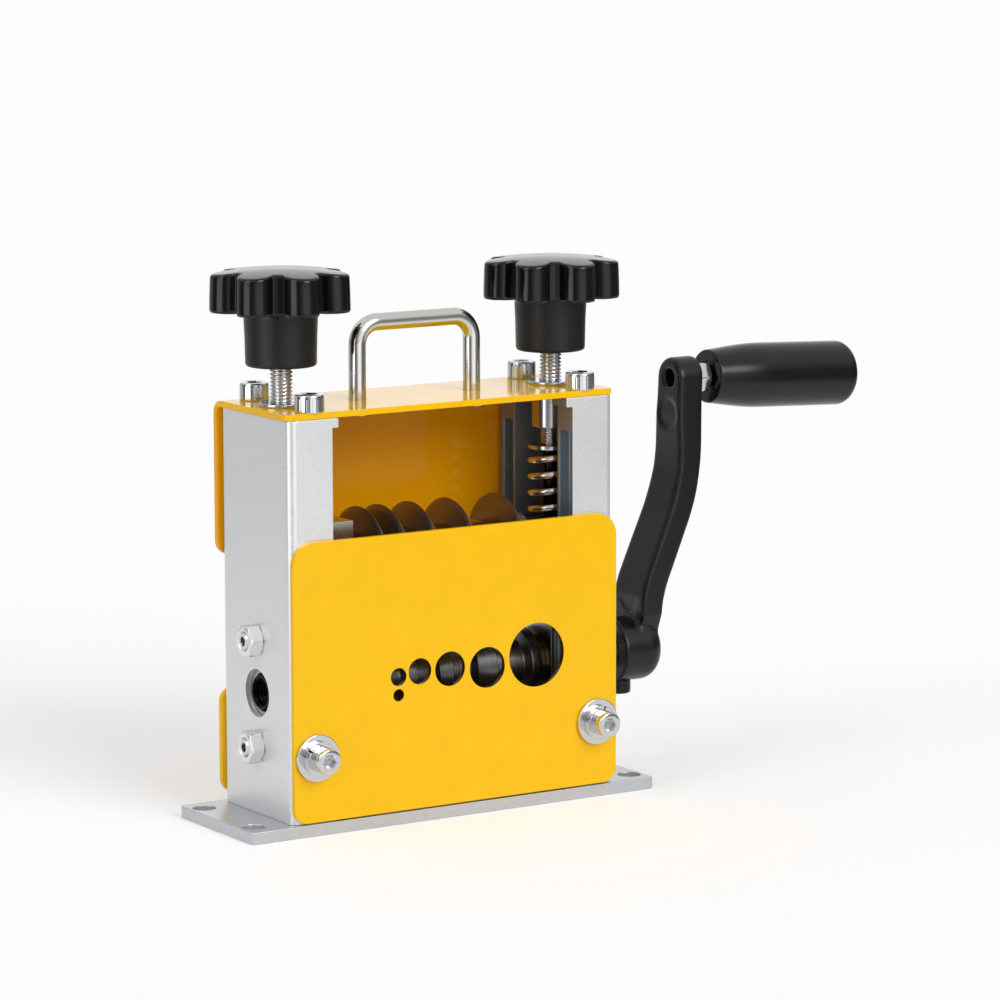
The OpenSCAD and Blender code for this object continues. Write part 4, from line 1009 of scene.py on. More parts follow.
@dataclass
class Studio:
    """Camera, white surroundings, floor and soft lamps."""

    lens: float = 161.93
    yaw: float = -0.56748186
    pitch: float = 0.154122111
    roll: float = -0.00176563
    distance: float = 1530.97
    aside: float = -27.4956
    above: float = -24.8052
    aim_height: float = 80.0
    floor_size: float = 30.0
    daylight: float = 0.55
    ceiling: float = 0.8
    paper: float = 0.85
    lift: float = 0.25
    near_floor: float = 0.35
    far_floor: float = 0.8
    near_level: float = 0.9
    lamps: tuple[tuple[str, float, float, float, float], ...] = (
        ("front_lamp", 10, 30, 34, 1.3), ("left_lamp", -80, 40, 30, 0.5)
    )

    def camera(self) -> None:
        """Places the camera where the photograph was taken from."""
        back = Vector(
            (
                math.sin(self.yaw) * math.cos(self.pitch),
                -math.cos(self.yaw) * math.cos(self.pitch),
                math.sin(self.pitch),
            )
        )
        right = (-back).cross(Vector((0, 0, 1))).normalized()
        up = right.cross(-back)
        turned = math.cos(self.roll) * right + math.sin(self.roll) * up
        raised = -math.sin(self.roll) * right + math.cos(self.roll) * up
        place = (
            Vector((0, 0, self.aim_height)) + back * self.distance - turned * self.aside - raised * self.above
        ) * MM
        data = bpy.data.cameras.new("camera")
        data.lens = self.lens
        data.sensor_width = 36
        data.clip_start = 0.05
        data.clip_end = 200
        camera = bpy.data.objects.new("camera", data)
        camera.matrix_world = Matrix(
            [(turned[i], raised[i], back[i], place[i]) for i in range(3)] + [(0, 0, 0, 1)]
        )
        bpy.context.scene.collection.objects.link(camera)
        bpy.context.scene.camera = camera
        bpy.context.scene.view_settings.view_transform = "Standard"

    def room(self, writer: NodeWriter, towards: bpy.types.NodeSocket) -> bpy.types.NodeSocket:
        """Gives how bright the studio is in a level direction: soft boxes, and dark gaps between them.

        Args:
            writer: The material's node writer.
            towards: The direction from the object.

        Returns:
            The brightness's socket.
        """
        x, y, _ = writer.node("ShaderNodeSeparateXYZ", {0: towards}).outputs
        turn = writer.math("ARCTAN2", x, writer.math("MULTIPLY", y, -1))
        stops = [((degrees + 180) / 360, (level / ROOM_PEAK,) * 3 + (1,)) for degrees, level in ROOM_LEVELS]
        bright = writer.ramp(writer.ranged(turn, -math.pi, math.pi, 0, 1), *stops)
        return writer.math("MULTIPLY", bright, ROOM_PEAK)

    def surroundings(self) -> None:
        """Makes the world: white for the camera, a lit room for the object."""
        world = bpy.data.worlds.new("surroundings")
        bpy.context.scene.world = world
        world.use_nodes = True
        writer = NodeWriter(world.node_tree)
        paths = writer.node("ShaderNodeLightPath").outputs
        towards = writer.node("ShaderNodeTexCoord").outputs["Generated"]
        rise = writer.node("ShaderNodeSeparateXYZ", {0: towards}).outputs[2]
        high = writer.ranged(rise, 0.22, 0.6, 0.0, 1.0)
        haze = writer.ramp(rise, *((height, (level,) * 3 + (1,)) for height, level in HORIZON_LEVELS))
        level = writer.math("MULTIPLY", self.room(writer, towards), haze)
        room = writer.mixed(high, level, self.ceiling)
        seen = writer.math("MAXIMUM", paths["Is Camera Ray"], paths["Is Transmission Ray"])
        glossy = writer.mixed(paths["Is Glossy Ray"], self.daylight, room)
        level = writer.mixed(seen, glossy, 1.0)
        shader = writer.node("ShaderNodeBackground", {"Color": (1, 1, 1, 1), "Strength": level})
        writer.node("ShaderNodeOutputWorld", {0: shader.outputs[0]})

    def floor(self) -> None:
        """Lays the pale floor, which keeps the object's soft shadow."""
        mesh = bpy.data.meshes.new("floor")
        half = self.floor_size
        corners = [(-half, -half, 0), (half, -half, 0), (half, half, 0), (-half, half, 0)]
        mesh.from_pydata(corners, [], [(0, 1, 2, 3)])
        floor = new_piece("floor", mesh)
        material = bpy.data.materials.new("pale_floor")
        material.use_nodes = True
        writer = NodeWriter(material.node_tree)
        paths = writer.node("ShaderNodeLightPath").outputs
        place = writer.node("ShaderNodeTexCoord").outputs["Object"]
        away = writer.node("ShaderNodeVectorMath", {0: place}, operation="LENGTH").outputs["Value"]
        far = writer.ranged(away, self.near_floor, self.far_floor, 0.0, 1.0)
        reflected = writer.mixed(far, self.near_level, self.room(writer, place))
        share = writer.mixed(paths["Is Glossy Ray"], 1.0, reflected)
        tone = writer.math("MULTIPLY", share, self.paper)
        colour = writer.node("ShaderNodeCombineColor", {0: tone, 1: tone, 2: tone}).outputs[0]
        paper = writer.node("ShaderNodeBsdfDiffuse", {"Color": colour})
        seen = writer.math("MAXIMUM", paths["Is Camera Ray"], paths["Is Glossy Ray"])
        seen = writer.math("MAXIMUM", seen, paths["Is Transmission Ray"])
        strength = writer.math("MULTIPLY", writer.math("MULTIPLY", seen, share), self.lift)
        lift = writer.node("ShaderNodeEmission", {"Strength": strength})
        both = writer.node("ShaderNodeAddShader", {0: paper.outputs[0], 1: lift.outputs[0]})
        writer.node("ShaderNodeOutputMaterial", {0: both.outputs[0]})
        mesh.materials.append(material)

    def sun(self, name: str, turn: float, rise: float, spread: float, strength: float) -> None:
        """Hangs one far soft lamp.

        Args:
            name: The lamp's name.
            turn: Its direction in degrees from the front, to the right.
            rise: Its height above the floor in degrees.
            spread: How wide it looks, in degrees.
            strength: Its light in watts on a square metre.
        """
        data = bpy.data.lights.new(name, "SUN")
        data.angle = math.radians(spread)
        data.energy = strength
        lamp = bpy.data.objects.new(name, data)
        a, e = math.radians(turn), math.radians(rise)
        back = Vector((math.sin(a) * math.cos(e), -math.cos(a) * math.cos(e), math.sin(e)))
        lamp.rotation_mode = "QUATERNION"
        lamp.rotation_quaternion = back.to_track_quat("Z", "Y")
        bpy.context.scene.collection.objects.link(lamp)

    def build(self) -> None:
        """Sets the whole studio up."""
        self.camera()
        self.surroundings()
        self.floor()
        for lamp in self.lamps:
            self.sun(*lamp)


# Fasteners


@dataclass(frozen=True)
class SocketScrew:
    """A screw with a round head and a hexagon socket."""

    head_d: float
    head_h: float
    key: float
    key_depth: float
    shank_d: float
    shank: float
    serrations: int = 0
    bite: float = 0.05
    steps: int = 96

    def mesh(self, name: str) -> bpy.types.Object:
        """Builds the screw along +Z, its head standing on the origin.

        Args:
            name: The piece's name.

        Returns:
            The screw.
        """
        r, h, steps = self.head_d / 2, self.head_h, self.steps
        grip_r = r - self.bite * np.abs(np.sin(np.arange(steps) * math.pi * self.serrations / steps))
        key_r = hexagon(self.key, steps)
        floor = h - self.key_depth
        rings = [
            (-self.shank, 0), (-self.shank, self.shank_d / 2 - 0.5), (-self.shank + 0.5, self.shank_d / 2),
            (0, self.shank_d / 2), (0, r - 0.3), (0.3, r - 0.05), (0.35, grip_r), (h * 0.76, grip_r),
            (h * 0.78, r - 0.04), (h - 0.55, r - 0.06), (h - 0.3, r - 0.16), (h - 0.1, r - 0.36),
            (h, r - 0.62), (h, key_r + 0.35), (h - 0.3, key_r), (floor, key_r), (floor, key_r * 0.9),
            (floor - 0.5, 0),
        ]
        return ringed(name, rings, steps)


@dataclass(frozen=True)
class HexNut:
    """A hexagon nut with both faces chamfered."""

    across: float
    height: float
    bore_d: float
    steps: int = 72

    def mesh(self, name: str) -> bpy.types.Object:
        """Builds the nut along +Z from the origin.

        Args:
            name: The piece's name.

        Returns:
            The nut.
        """
        side = hexagon(self.across, self.steps)
        flat = self.across / 2 * 0.96
        cut = (side - flat) * math.tan(math.radians(30))
        bore, h = self.bore_d / 2, self.height
        soft = side - 0.08
        rings = [
            (0, flat), (cut - 0.04, soft), (cut + 0.06, side), (h - cut - 0.06, side), (h - cut + 0.04, soft),
            (h, flat),
            (h, bore + 0.45), (h - 0.45, bore), (0.45, bore), (0, bore + 0.45),
        ]
        return ringed(name, rings, self.steps, loop=True)


@dataclass(frozen=True)
class SetScrew:
    """A threaded stud with a hexagon socket in its outer end."""

    diameter: float
    length: float
    key: float
    key_depth: float
    pitch: float = 1.0
    steps: int = 48

    def mesh(self, name: str) -> bpy.types.Object:
        """Builds the stud along +Z, its socket at the upper end.

        Args:
            name: The piece's name.

        Returns:
            The stud.
        """
        r, core = self.diameter / 2, self.diameter / 2 - 0.42
        rings: list[Ring] = [(0, 0), (0, core)]
        turns = int((self.length - 1.2) / self.pitch)
        for k in range(turns):
            z = 0.5 + k * self.pitch
            rings += [(z, core), (z + 0.38, r), (z + 0.5, r), (z + 0.88, core)]
        key_r = hexagon(self.key, self.steps)
        h = self.length
        rings += [
            (h - 0.62, r), (h - 0.45, r), (h, r - 0.45), (h, key_r + 0.12), (h - 0.12, key_r),
            (h - self.key_depth, key_r), (h - self.key_depth - 0.4, 0),
        ]
        return ringed(name, rings, self.steps)


@dataclass(frozen=True)
class SplitWasher:
    """A spring washer, cut through and slightly wound."""

    outer: float
    inner: float
    thick: float
    gap: float = 9.0
    rise: float = 0.12
    steps: int = 72

    def mesh(self, name: str) -> bpy.types.Object:
        """Builds the washer along +Z from the origin.

        Args:
            name: The piece's name.

        Returns:
            The washer.
        """
        a, b, t, e = self.inner / 2, self.outer / 2, self.thick, 0.18
        section = [(a + e, 0), (b - e, 0), (b, e), (b, t - e), (b - e, t), (a + e, t), (a, t - e), (a, e)]
        angles = np.radians(np.linspace(self.gap / 2, 360 - self.gap / 2, self.steps))
        lift = np.linspace(0, self.rise, self.steps) - self.rise
        points = [
            (r * math.cos(f) * MM, r * math.sin(f) * MM, max(z + up, 0) * MM)
            for f, up in zip(angles, lift)
            for r, z in section
        ]
        n = len(section)
        faces = [
            (i * n + k, i * n + (k + 1) % n, (i + 1) * n + (k + 1) % n, (i + 1) * n + k)
            for i in range(self.steps - 1)
            for k in range(n)
        ]
        faces += [tuple(range(n)), tuple((self.steps - 1) * n + k for k in range(n))]
        mesh = bpy.data.meshes.new(name)
        mesh.from_pydata(points, [], faces)
        return closed_piece(name, mesh)


# Sub-assemblies


@dataclass
class Housing:
    """Base plate, two columns, the yellow plates and the cover, with their screws."""

    scatter: ScatterTree
    edge: float = 0.3
    column_x: float = 55.55
    row_y: float = 18.35
    adjuster_x: float = 53.3
    stud_x: float = 63.8
    drive_z: float = 45.3
    stud_rise: float = 18.0
    cover_top: float = 141.3
    column_in: float = 47.3
    pocket_depth: float = 4.0
    pocket_low: float = 8.0
    pocket_high: float = 127.4
    plate_face: float = 25.2
    front_screw_z: float = 26.8
    rear_screw_z: float = 25.0
    washer_t: float = 1.6
    stud_length: float = 15.7
    stud_out: float = 5.3
    nut_turn: float = 30.0
    nut_drift: float = 5.0
    shank_d: float = 5.8
    washer_bore: float = 6.6
    washer_d: float = 16.0
    split_d: float = 11.6
    pocket_rows: tuple[tuple[float, float], ...] = ((14.3, 20.4), (-22.7, -15.0))

    def sheets(self) -> None:
        """Softens the edges of the base, the columns, the plates and the cover."""
        dress_node("base_plate", BASE_METAL_SHADED, Body.FRAME, self.edge)
        for side, node in ((-1, "left_column"), (1, "right_column")):
            place_piece(softened(node, self.edge, cutters=self.pockets(side)), ALUMINIUM_SHADED_INSIDE, Body.FRAME, node)
        plates = (("front_plate", YELLOW_SHADED_HOLES), ("rear_plate", YELLOW), ("top_cover", YELLOW_COVER_WARM_SHADE))
        for node, paint in plates:
            dress_node(node, paint, Body.FRAME, self.edge, 3)

    def pockets(self, side: int) -> list[bpy.types.Object]:
        """Gives the forms of the two upright pockets in a column's inner face.

        Args:
            side: -1 on the left, 1 on the right.

        Returns:
            The pockets of the rear and the front flange.
        """
        near, deep = sorted((side * (self.column_in - 1), side * (self.column_in + self.pocket_depth)))
        return [
            box_piece("pocket", (near, low, self.pocket_low), (deep, high, self.pocket_high))
            for low, high in self.pocket_rows
        ]

    def corners(self, x: float, y: float, z: float, towards: Sequence[float]) -> list[Matrix]:
        """Places four fasteners at the corners of a rectangle."""
        return [stand((i * x, j * y, z), towards) for i in (-1, 1) for j in (-1, 1)]

    def cover_screws(self) -> None:
        """Sets four screws on the cover."""
        low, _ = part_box("cover_screws")
        screw = SocketScrew(
            head_d=10, head_h=6, key=5, key_depth=3, shank_d=self.shank_d, shank=self.cover_top - low.z / MM,
            serrations=32, steps=192,
        )
        places = self.corners(self.adjuster_x, self.row_y, self.cover_top, (0, 0, 1))
        piece = self.scatter.set_out("cover_screw_set", screw.mesh("cover_screw"), places, 180, 4)
        place_piece(piece, ZINC, Body.FRAME, "cover_screws")

    def foot_screws(self) -> None:
        """Sets four countersunk screws in the base's underside."""
        low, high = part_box("foot_screws")
        h, steps = (high.z - low.z) / MM, 48
        key_r = hexagon(3.2, steps)
        depth = 2.0
        rings = [
            (h, 0), (h, 2.5), (h - 0.5, 2.95), (2.0, 2.95), (0.35, 4.7), (0, 4.7), (0, key_r + 0.2),
            (0.2, key_r), (depth, key_r), (depth + 0.5, 0),
        ]
        places = self.corners(self.column_x, self.row_y, low.z / MM, (0, 0, 1))
        screw = ringed("foot_screw", rings, steps)
        piece = self.scatter.set_out("foot_screw_set", screw, places, 180, 9)
        place_piece(piece, ZINC, Body.FRAME, "foot_screws")

    def front_stack(self) -> None:
        """Sets the front plate's washers, spring washers and screws."""
        _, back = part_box("front_screws")
        t, head = self.washer_t, -self.plate_face - 2 * self.washer_t
        inner, outer = self.washer_bore / 2, self.washer_d / 2
        bore = [(t, inner), (0, inner)]
        outline = eased([(0, inner), (0, outer), (t, outer), *bore], 0.35, 3)[1:-1] + bore
        washer = ringed("flat_washer", outline, 72, loop=True)
        split = SplitWasher(self.split_d, self.washer_bore, t).mesh("split_washer")
        screw = SocketScrew(
            head_d=8.8, head_h=5.8, key=4, key_depth=3, shank_d=self.shank_d, shank=back.y / MM - head,
            serrations=32, steps=192,
        ).mesh("front_screw")
        rows = (
            ("front_flat_washer_pair", "front_flat_washers", washer, -self.plate_face, 0, 1),
            ("front_spring_washer_pair", "front_spring_washers", split, -self.plate_face - t, 180, 3),
            ("front_screw_pair", "front_screws", screw, head, 180, 6),
        )
        sides = (-self.column_x, self.column_x)
        for name, node, form, face, swing, seed in rows:
            places = [stand((x, face, self.front_screw_z), (0, -1, 0)) for x in sides]
            place_piece(self.scatter.set_out(name, form, places, swing, seed), ZINC, Body.FRAME, node)

    def rear_screws(self) -> None:
        """Sets the rear plate's two screws."""
        low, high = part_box("rear_screws")
        face = self.plate_face
        screw = SocketScrew(
            head_d=10, head_h=high.y / MM - face, key=5, key_depth=3, shank_d=self.shank_d,
            shank=face - low.y / MM, serrations=32, steps=192,
        )
        places = [stand((x, face, self.rear_screw_z), (0, 1, 0)) for x in (-self.column_x, self.column_x)]
        piece = self.scatter.set_out("rear_screw_pair", screw.mesh("rear_screw"), places, 180, 5)
        place_piece(piece, ZINC, Body.FRAME, "rear_screws")

    def studs(self) -> None:
        """Sets the studs of the lower blocks with their nuts."""
        places, nut_places = [], []
        foot = self.stud_x + self.stud_out - self.stud_length
        for side in (-1, 1):
            for rise in (-1, 1):
                z = self.drive_z + rise * self.stud_rise
                places.append(stand((side * foot, 0, z), (side, 0, 0)))
                spin = self.nut_turn + self.nut_drift * rise
                nut_places.append(stand((side * self.stud_x, 0, z), (side, 0, 0), spin))
        stud = SetScrew(6, self.stud_length, 3, 3).mesh("stud")
        piece = self.scatter.set_out("block_stud_set", stud, places, 180, 2)
        place_piece(piece, ZINC, Body.FRAME, "block_studs")
        nut = HexNut(across=10, height=5, bore_d=6.1).mesh("stud_nut")
        piece = self.scatter.set_out("stud_nut_set", nut, nut_places)
        place_piece(piece, WHITE_ZINC, Body.FRAME, "stud_nuts")

    def build(self) -> None:
        """Builds the housing."""
        self.sheets()
        self.cover_screws()
        self.foot_screws()
        self.front_stack()
        self.rear_screws()
        self.studs()


@dataclass
class CarryHandle:
    """The bent rod on the cover and the two nuts under it."""

    scatter: ScatterTree
    left: float = -24.0
    right: float = 21.2
    low: float = 136.2
    bar: float = 167.0
    bend: float = 7.5
    rod_d: float = 6.0

    def build(self) -> None:
        """Bends the rod and sets its nuts."""
        values = {
            "Left": self.left * MM, "Right": self.right * MM, "Low": self.low * MM, "Bar": self.bar * MM,
            "Bend": self.bend * MM, "Rod radius": self.rod_d / 2 * MM,
        }
        rod = weigh_normals(BentRodTree().grow("carry_handle_rod", values), 40)
        place_piece(rod, STAINLESS, Body.FRAME, "carry_handle")
        nut = HexNut(across=10, height=3, bore_d=6.1).mesh("handle_nut")
        places = [stand((x, 0, self.low), (0, 0, 1)) for x in (self.left, self.right)]
        piece = self.scatter.set_out("handle_nut_pair", nut, places, 30, 8)
        place_piece(piece, ZINC, Body.FRAME, "handle_nuts")


@dataclass
class Bearings:
    """Blocks, bushes and pins that carry the two shafts."""

    edge: float = 0.3
    bush_edge: float = 0.25

    def build(self) -> None:
        """Softens every block, bush and pin."""
        for side, turned in (("left", TURNED_LEFT), ("right", TURNED_RIGHT)):
            dress_node(f"{side}_threaded_bush", turned, Body.FRAME, self.bush_edge)
            dress_node(f"{side}_lower_block", MILLED, Body.FRAME, self.edge)
            dress_node(f"{side}_lower_bush", BRONZE_DRIVE_SHADED, Body.FRAME, self.bush_edge)
            dress_node(f"{side}_upper_block", MILLED, Body.CARRIAGE, self.edge)
            dress_node(f"{side}_upper_bush", BRONZE_UPPER, Body.CARRIAGE, self.bush_edge)
        dress_node("retaining_pins", MILLED, Body.CARRIAGE, self.edge)


class Side(Enum):
    """The adjusters: name, body, place along X, knob's foot, first lobe's angle, screw's top and finish."""

    LEFT = ("left", Body.LEFT_ADJUSTER, -53.3, 154.7, 6.0, 170.7, TURNED_LEFT)
    RIGHT = ("right", Body.RIGHT_ADJUSTER, 53.3, 153.0, 11.0, 169.0, TURNED_RIGHT)


@dataclass
class Adjusters:
    """Adjuster screws, springs, collars and star knobs on both sides."""

    journal_low: float = 81.9
    thread_low: float = 119.0
    thread_d: float = 7.8
    pitch: float = 1.25
    spring_low: float = 95.65
    spring_mean: float = 6.65
    wire_d: float = 2.6
    curls: float = 4.298
    core_r: float = 16.9
    lobe_d: float = 12.0
    lobe_reach: float = 17.75
    lobes: int = 7
    knob_h: float = 32.7
    crown: float = 0.0033
    valley: float = 2.2
    knob_columns: int = 337
    thread_depth: float = 0.68
    thread_turn: float = 0.9
    journal_r: float = 3.0
    row_step: float = 0.125
    coil_pitch: float = 5.7
    end_pitch: float = 3.2
    coil_turn: float = -0.87
    coil_points: int = 280

    def profile(self) -> list[tuple[float, float, float]]:
        """Gives the knob's rows, from the hub's foot to the dome's middle.

        Returns:
            Rows of plain radius, star share and height.
        """
        rows = [(0, 0, 0), (4.3, 0, 0), (9.0, 0, 0)]
        rows += [(r, 0, z) for z, r in eased([(0, 9.0), (0, 11.9), (10, 12.1)], 1.3, 5)[1:]]
        rows += [(12.45, 0, 17.6), (12.6, 0, 17.95), (13.0, 0, 18.15)]
        rows += [(9.4, 0.2, 18.2), (-0.9, 1, 18.2), (-0.35, 1, 18.32), (0.0, 1, 18.75), (0.12, 1, 19.4)]
        rows += [(0.06, 1, 23.0), (-0.1, 1, 28.0)]
        top = self.knob_h
        rim = ((0.2, 1.1), (0.24, 0.85), (0.32, 0.6), (0.48, 0.36), (0.75, 0.16), (1.1, 0.05), (1.6, 0.0))
        rows += [(-back, 1, top - down) for back, down in rim]
        rows += [(-1.6 * share, share, top) for share in (0.9, 0.8, 0.7, 0.6, 0.5, 0.4, 0.3, 0.2, 0.1)]
        rows.append((0, 0, top))
        return rows

    def knob(self, side: Side, tree: LobedTree) -> None:
        """Moulds one star knob.

        Args:
            side: The adjuster.
            tree: The tree that shapes it.
        """
        name, body, x, low, phase, *_ = side.value
        values = {
            "Lobes": self.lobes, "Phase": math.radians(phase), "Core radius": self.core_r * MM,
            "Lobe distance": self.lobe_reach * MM, "Lobe radius": self.lobe_d / 2 * MM,
            "Valley softness": self.valley * MM, "Columns": self.knob_columns,
            "Crown": self.crown / MM, "Crown low": (self.knob_h - 2) * MM,
        }
        knob = tree.mould(f"{name}_star_knob", self.profile(), values, stand((x, 0, low)))
        place_piece(knob, KNOB_BLACK, body, f"{name}_knob")

    def screw(self, side: Side, tree: ThreadTree) -> None:
        """Cuts one adjuster screw.

        Args:
            side: The adjuster.
            tree: The tree that cuts the thread.
        """
        name, body, x, *_, top, _ = side.value
        outer = self.thread_d / 2
        values = {
            "Outer": outer * MM, "Core": (outer - self.thread_depth) * MM, "Pitch": self.pitch * MM,
            "Low": self.journal_low * MM, "Start": self.thread_low * MM, "High": top * MM,
            "Journal": self.journal_r * MM, "Turn": self.thread_turn,
            "Rows": int((top - self.journal_low) / self.row_step),
        }
        screw = tree.shell(f"{name}_threaded_screw", values, stand((x, 0, 0)))
        place_piece(screw, SCREW_ZINC_SHADED, body, f"{name}_adjuster_screw")

    def spring(self, side: Side, tree: CoilTree) -> None:
        """Winds one spring.

        Args:
            side: The adjuster.
            tree: The tree that winds it.
        """
        name, _, x, *_ = side.value
        values = {
            "Mean radius": self.spring_mean * MM, "Wire radius": self.wire_d / 2 * MM, "Curls": self.curls,
            "Pitch": self.coil_pitch * MM, "End pitch": self.end_pitch * MM, "Low": self.spring_low * MM,
            "Turn": self.coil_turn, "Points": self.coil_points,
        }
        coil = tree.shell(f"{name}_wire_spring", values, stand((x, 0, 0)))
        place_piece(coil, SPRING_WIRE, Body.CARRIAGE, f"{name}_spring")

    def build(self) -> None:
        """Builds both adjusters."""
        knobs, threads, coils = LobedTree(), ThreadTree(), CoilTree()
        for side in Side:
            name, body, *_, turned = side.value
            self.knob(side, knobs)
            self.screw(side, threads)
            self.spring(side, coils)
            dress_node(f"{name}_spring_collar", turned, body, 0.2)


@dataclass
class BladeSet:
    """The blade shaft with its discs, spacers and lock nut."""

    discs: int = 5

    def build(self) -> None:
        """Softens the turned pieces; the discs keep their edges."""
        dress_node("blade_shaft", TURNED_UPPER, Body.BLADES)
        for i in range(1, self.discs + 1):
            dress_node(f"blade_{i}", BLADE, Body.BLADES, 0.05, 1)
            dress_node(f"spacer_{i}", TURNED_UPPER, Body.BLADES, 0.2)
        dress_node("shaft_lock_nut", TURNED_UPPER, Body.BLADES)


@dataclass
class Drive:
    """The drive shaft with its tapped left end, and its grooved roller."""

    shaft_r: float = 6.0
    left: float = -62.5
    right: float = 87.0
    tap_depth: float = 14.0
    tap_r: float = 4.2
    tap_pitch: float = 1.25
    land_end: float = 40.0
    land_reach: float = 2.3

    def shaft(self) -> None:
        """Turns the shaft with a tapped hole in its left end."""
        bottom, mouth = self.left + self.tap_depth, self.left + 0.9
        rings: list[Ring] = [(bottom + 1.5, 0), (bottom, self.tap_r)]
        for k in range(int((bottom - mouth) / self.tap_pitch)):
            x = bottom - 0.2 - k * self.tap_pitch
            rings += [(x, self.tap_r), (x - 0.55, self.tap_r + 0.5), (x - 0.7, self.tap_r + 0.5)]
        rings += [(mouth, self.tap_r + 0.2), (self.left, self.tap_r + 0.9), (self.left, self.shaft_r - 0.35)]
        rings += [(self.left + 0.35, self.shaft_r), (self.right - 0.3, self.shaft_r)]
        rings += [(self.right, self.shaft_r - 0.3), (self.right, 0)]
        shaft = ringed("turned_drive_shaft", rings, 72, stand(DRIVE_AXIS, (1, 0, 0)))
        place_piece(shaft, TURNED_DRIVE_SHADED_ENDS, Body.CRANK, "drive_shaft")

    def build(self) -> None:
        """Builds the shaft, the roller with its last land drawn out, and the pin."""
        self.shaft()
        roller = softened("drive_roller", 0.2)
        for vertex in roller.data.vertices:
            if abs(vertex.co.x / MM - self.land_end) < 0.5:
                vertex.co.x += self.land_reach * MM
        place_piece(roller, TURNED_ROLLER, Body.CRANK, "drive_roller")
        dress_node("roller_pin", MILLED, Body.CRANK)


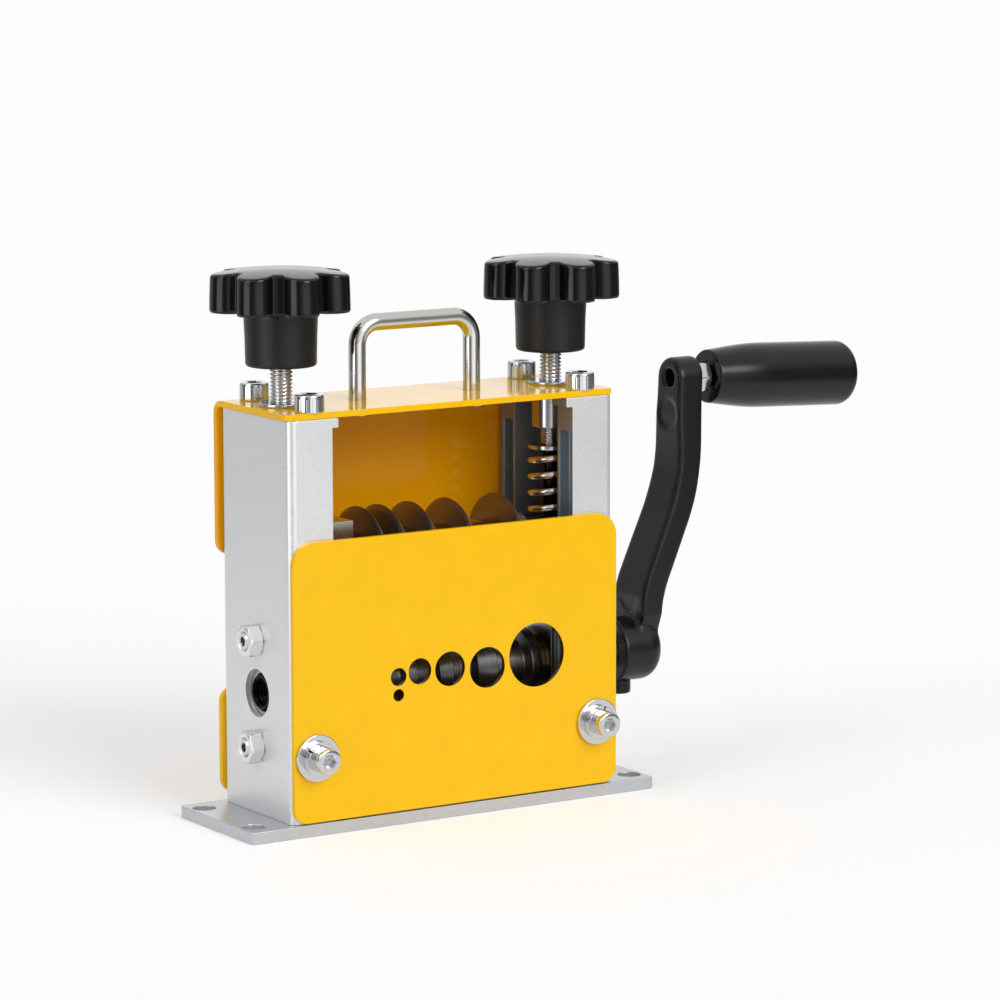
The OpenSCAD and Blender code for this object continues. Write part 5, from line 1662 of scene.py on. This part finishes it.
@dataclass
class Crank:
    """The cast crank arm, its clamp screw, and the grip with its bolt and nut."""

    scatter: ScatterTree
    voxel: float = 0.36
    smoothing: int = 12
    arm_w: float = 14.6
    arm_t: float = 8.0
    arm_round: float = 1.5
    swell_inner: tuple[tuple[float, float], ...] = ((58, 0), (64, 0.9), (108, 1.1), (127, 2.2))
    swell_outer: tuple[tuple[float, float], ...] = ((58, 0), (64, 0.4), (98, 0.3), (126, 0))
    arm_line: tuple[tuple[float, float], ...] = ((45.3, 90.0), (63.9, 90.0), (103.5, 107.3), (154.2, 109.6))
    sharp_bend: float = 18.0
    soft_bend: float = 80.0
    taper: tuple[tuple[float, float], ...] = (
        (52, 0), (58, 2.4), (80.6, 2.1), (98, 1.7), (111, 1.1), (126, 0.4), (133, 0)
    )
    hub_edge: tuple[float, float] = (84, 86)
    face_edge: tuple[float, float] = (4.8, 7.1)
    neck: tuple[float, float] = (58, 64)
    clamp_x: float = 82.0
    clamp_seat_z: float = 34.8
    clamp_head_h: float = 5.0
    clamp_head_d: float = 8.4
    bolt_at: tuple[float, float, float] = (108.93929, 0.0, 139.6)
    lean: float = 2.6
    nut_turn: float = 30.0
    grip_start: float = 10.0
    grip_len: float = 60.0
    grip_d: float = 23.0
    grip_rim: float = 4.0
    grip_bore: float = 6.4
    grip_sink: float = 6.2
    grip_sink_d: float = 11.0
    grip_swell: tuple[tuple[float, float], ...] = (
        (21, 11.48), (17, 11.3), (13, 10.95), (9, 10.5), (5, 10.0), (2, 9.62)
    )

    @property
    def outwards(self) -> Vector:
        """The direction of the grip's bolt."""
        turn = math.radians(self.lean)
        return Vector((math.cos(turn), 0, -math.sin(turn)))

    def smooth(self, piece: bpy.types.Object, passes: int) -> None:
        """Evens a piece's surface by some passes of the Smooth modifier."""
        soft = piece.modifiers.new("soft", "SMOOTH")
        soft.factor = 0.5
        soft.iterations = passes
        plain_mesh(piece)

    def forged(self, points: np.ndarray) -> np.ndarray:
        """Gives the arm's points slow bends, a taper towards the top and round long edges.

        Args:
            points: One row of X, Y and Z in millimetres for each point.

        Returns:
            The moved points.
        """
        x, y, z = points.T.copy()
        line, sharp = (np.array(eased(self.arm_line, r, 14)) for r in (self.soft_bend, self.sharp_bend))
        middle = np.interp(z, *line.T)
        x += middle - np.interp(z, *sharp.T)
        wider = np.interp(z, *np.array(self.taper).T) * np.interp(x, self.hub_edge, (0, 1))
        y += np.sign(y) * wider * np.interp(np.abs(y), self.face_edge, (0, 1))
        slope = np.gradient(line[:, 1], line[:, 0])
        across = (x - middle) / np.sqrt(1 + np.interp(z, line[:, 0], slope) ** 2)
        inner, outer = (np.interp(z, *np.array(rows).T) for rows in (self.swell_inner, self.swell_outer))
        half = self.arm_t / 2 + np.where(across < 0, inner, outer)
        grown = across * (half / (self.arm_t / 2) - 1)
        x, across = x + grown, across + grown
        beyond = np.maximum(z - self.bolt_at[2], 0)
        out = np.maximum(np.hypot(y, beyond), 1e-6)
        r = self.arm_round
        dx, dy = np.abs(across) - (half - r), out - (self.arm_w / 2 + wider - r)
        far = np.hypot(dx, dy)
        corner = (dx > 0) & (dy > 0) & (far > r)
        pull = np.where(corner, r / np.maximum(far, r) - 1, 0) * np.interp(z, self.neck, (0, 1))
        x += np.sign(across) * dx * pull
        share = 1 + dy * pull / out
        return np.stack([x, y * share, np.where(beyond > 0, self.bolt_at[2] + beyond * share, z)], 1)

    def arm(self) -> None:
        """Turns the arm into one forging with round edges and fillets."""
        piece = joined_copy("crank_arm")
        remesh = piece.modifiers.new("casting", "REMESH")
        remesh.mode = "VOXEL"
        remesh.voxel_size = self.voxel * MM
        remesh.adaptivity = 0.0
        self.smooth(piece, self.smoothing)
        flat = np.empty(len(piece.data.vertices) * 3)
        piece.data.vertices.foreach_get("co", flat)
        piece.data.vertices.foreach_set("co", (self.forged(flat.reshape(-1, 3) / MM) * MM).ravel())
        self.smooth(piece, self.smoothing)
        piece.data.shade_smooth()
        place_piece(piece, CAST_BLACK, Body.CRANK, "crank_arm")

    def clamp_screw(self) -> None:
        """Sets the knurled screw that clamps the hub."""
        _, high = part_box("crank_clamp_screw")
        shank = high.z / MM - self.clamp_seat_z
        screw = SocketScrew(
            head_d=self.clamp_head_d, head_h=self.clamp_head_h, key=4, key_depth=2.5, shank_d=5.0,
            shank=shank, serrations=24, steps=144,
        ).mesh("clamp_screw")
        places = [stand((self.clamp_x, 0, self.clamp_seat_z), (0, 0, -1))]
        piece = self.scatter.set_out("crank_clamp_screw_head", screw, places)
        place_piece(piece, BLACK_OXIDE, Body.CRANK, "crank_clamp_screw")

    def bolt_and_nut(self) -> None:
        """Sets the bolt that the grip turns on and its nut against the arm."""
        place = stand(self.bolt_at, self.outwards)
        nut = HexNut(across=10, height=5, bore_d=6.1).mesh("grip_nut_form")
        turn = Matrix.Rotation(math.radians(self.nut_turn), 4, "Z")
        seat = place @ Matrix.Translation((0, 0, self.arm_t / 2 * MM)) @ turn
        place_piece(self.scatter.set_out("grip_hex_nut", nut, [seat]), ZINC, Body.CRANK, "grip_nut")
        dress_node("grip_bolt", BOLT_IN_SHADE, Body.CRANK, 0.25)

    def grip(self) -> None:
        """Turns the grip: slim at the arm, then full, with a sunk outer end."""
        a, b = self.grip_start, self.grip_start + self.grip_len
        full, rim = self.grip_d / 2, self.grip_rim
        bore, sink, sink_r = self.grip_bore / 2, b - self.grip_sink, self.grip_sink_d / 2
        quarter = np.linspace(0, math.pi / 2, 9)
        corner = [(b - rim + rim * math.cos(t), full - rim + rim * math.sin(t)) for t in quarter]
        swell = [(a + z, r) for z, r in self.grip_swell]
        rings = eased([(sink, bore), (sink, sink_r), (b, sink_r), corner[0]], 0.4)[:-1] + corner + swell
        rings += eased([swell[-1], (a, 9.4), (a, 5.2), (a + 1.2, 5.0), (a + 1.2, bore)], 0.8, 4)[1:]
        grip = ringed("turned_grip", rings, 96, stand(self.bolt_at, self.outwards), loop=True)
        place_piece(grip, GRIP_BLACK, Body.GRIP, "grip")

    def build(self) -> None:
        """Builds the crank."""
        self.arm()
        self.clamp_screw()
        self.bolt_and_nut()
        self.grip()


def main() -> None:
    """Builds the studio and every sub-assembly in order, and reports them."""
    logging.basicConfig(level=logging.INFO, format="%(message)s")
    Studio().build()
    scatter = ScatterTree()
    frame_parts = (Housing(scatter), CarryHandle(scatter), Bearings())
    for part in (*frame_parts, Adjusters(), BladeSet(), Drive(), Crank(scatter)):
        part.build()
        log.info("%s done", type(part).__name__)


if __name__ == "__main__":
    main()
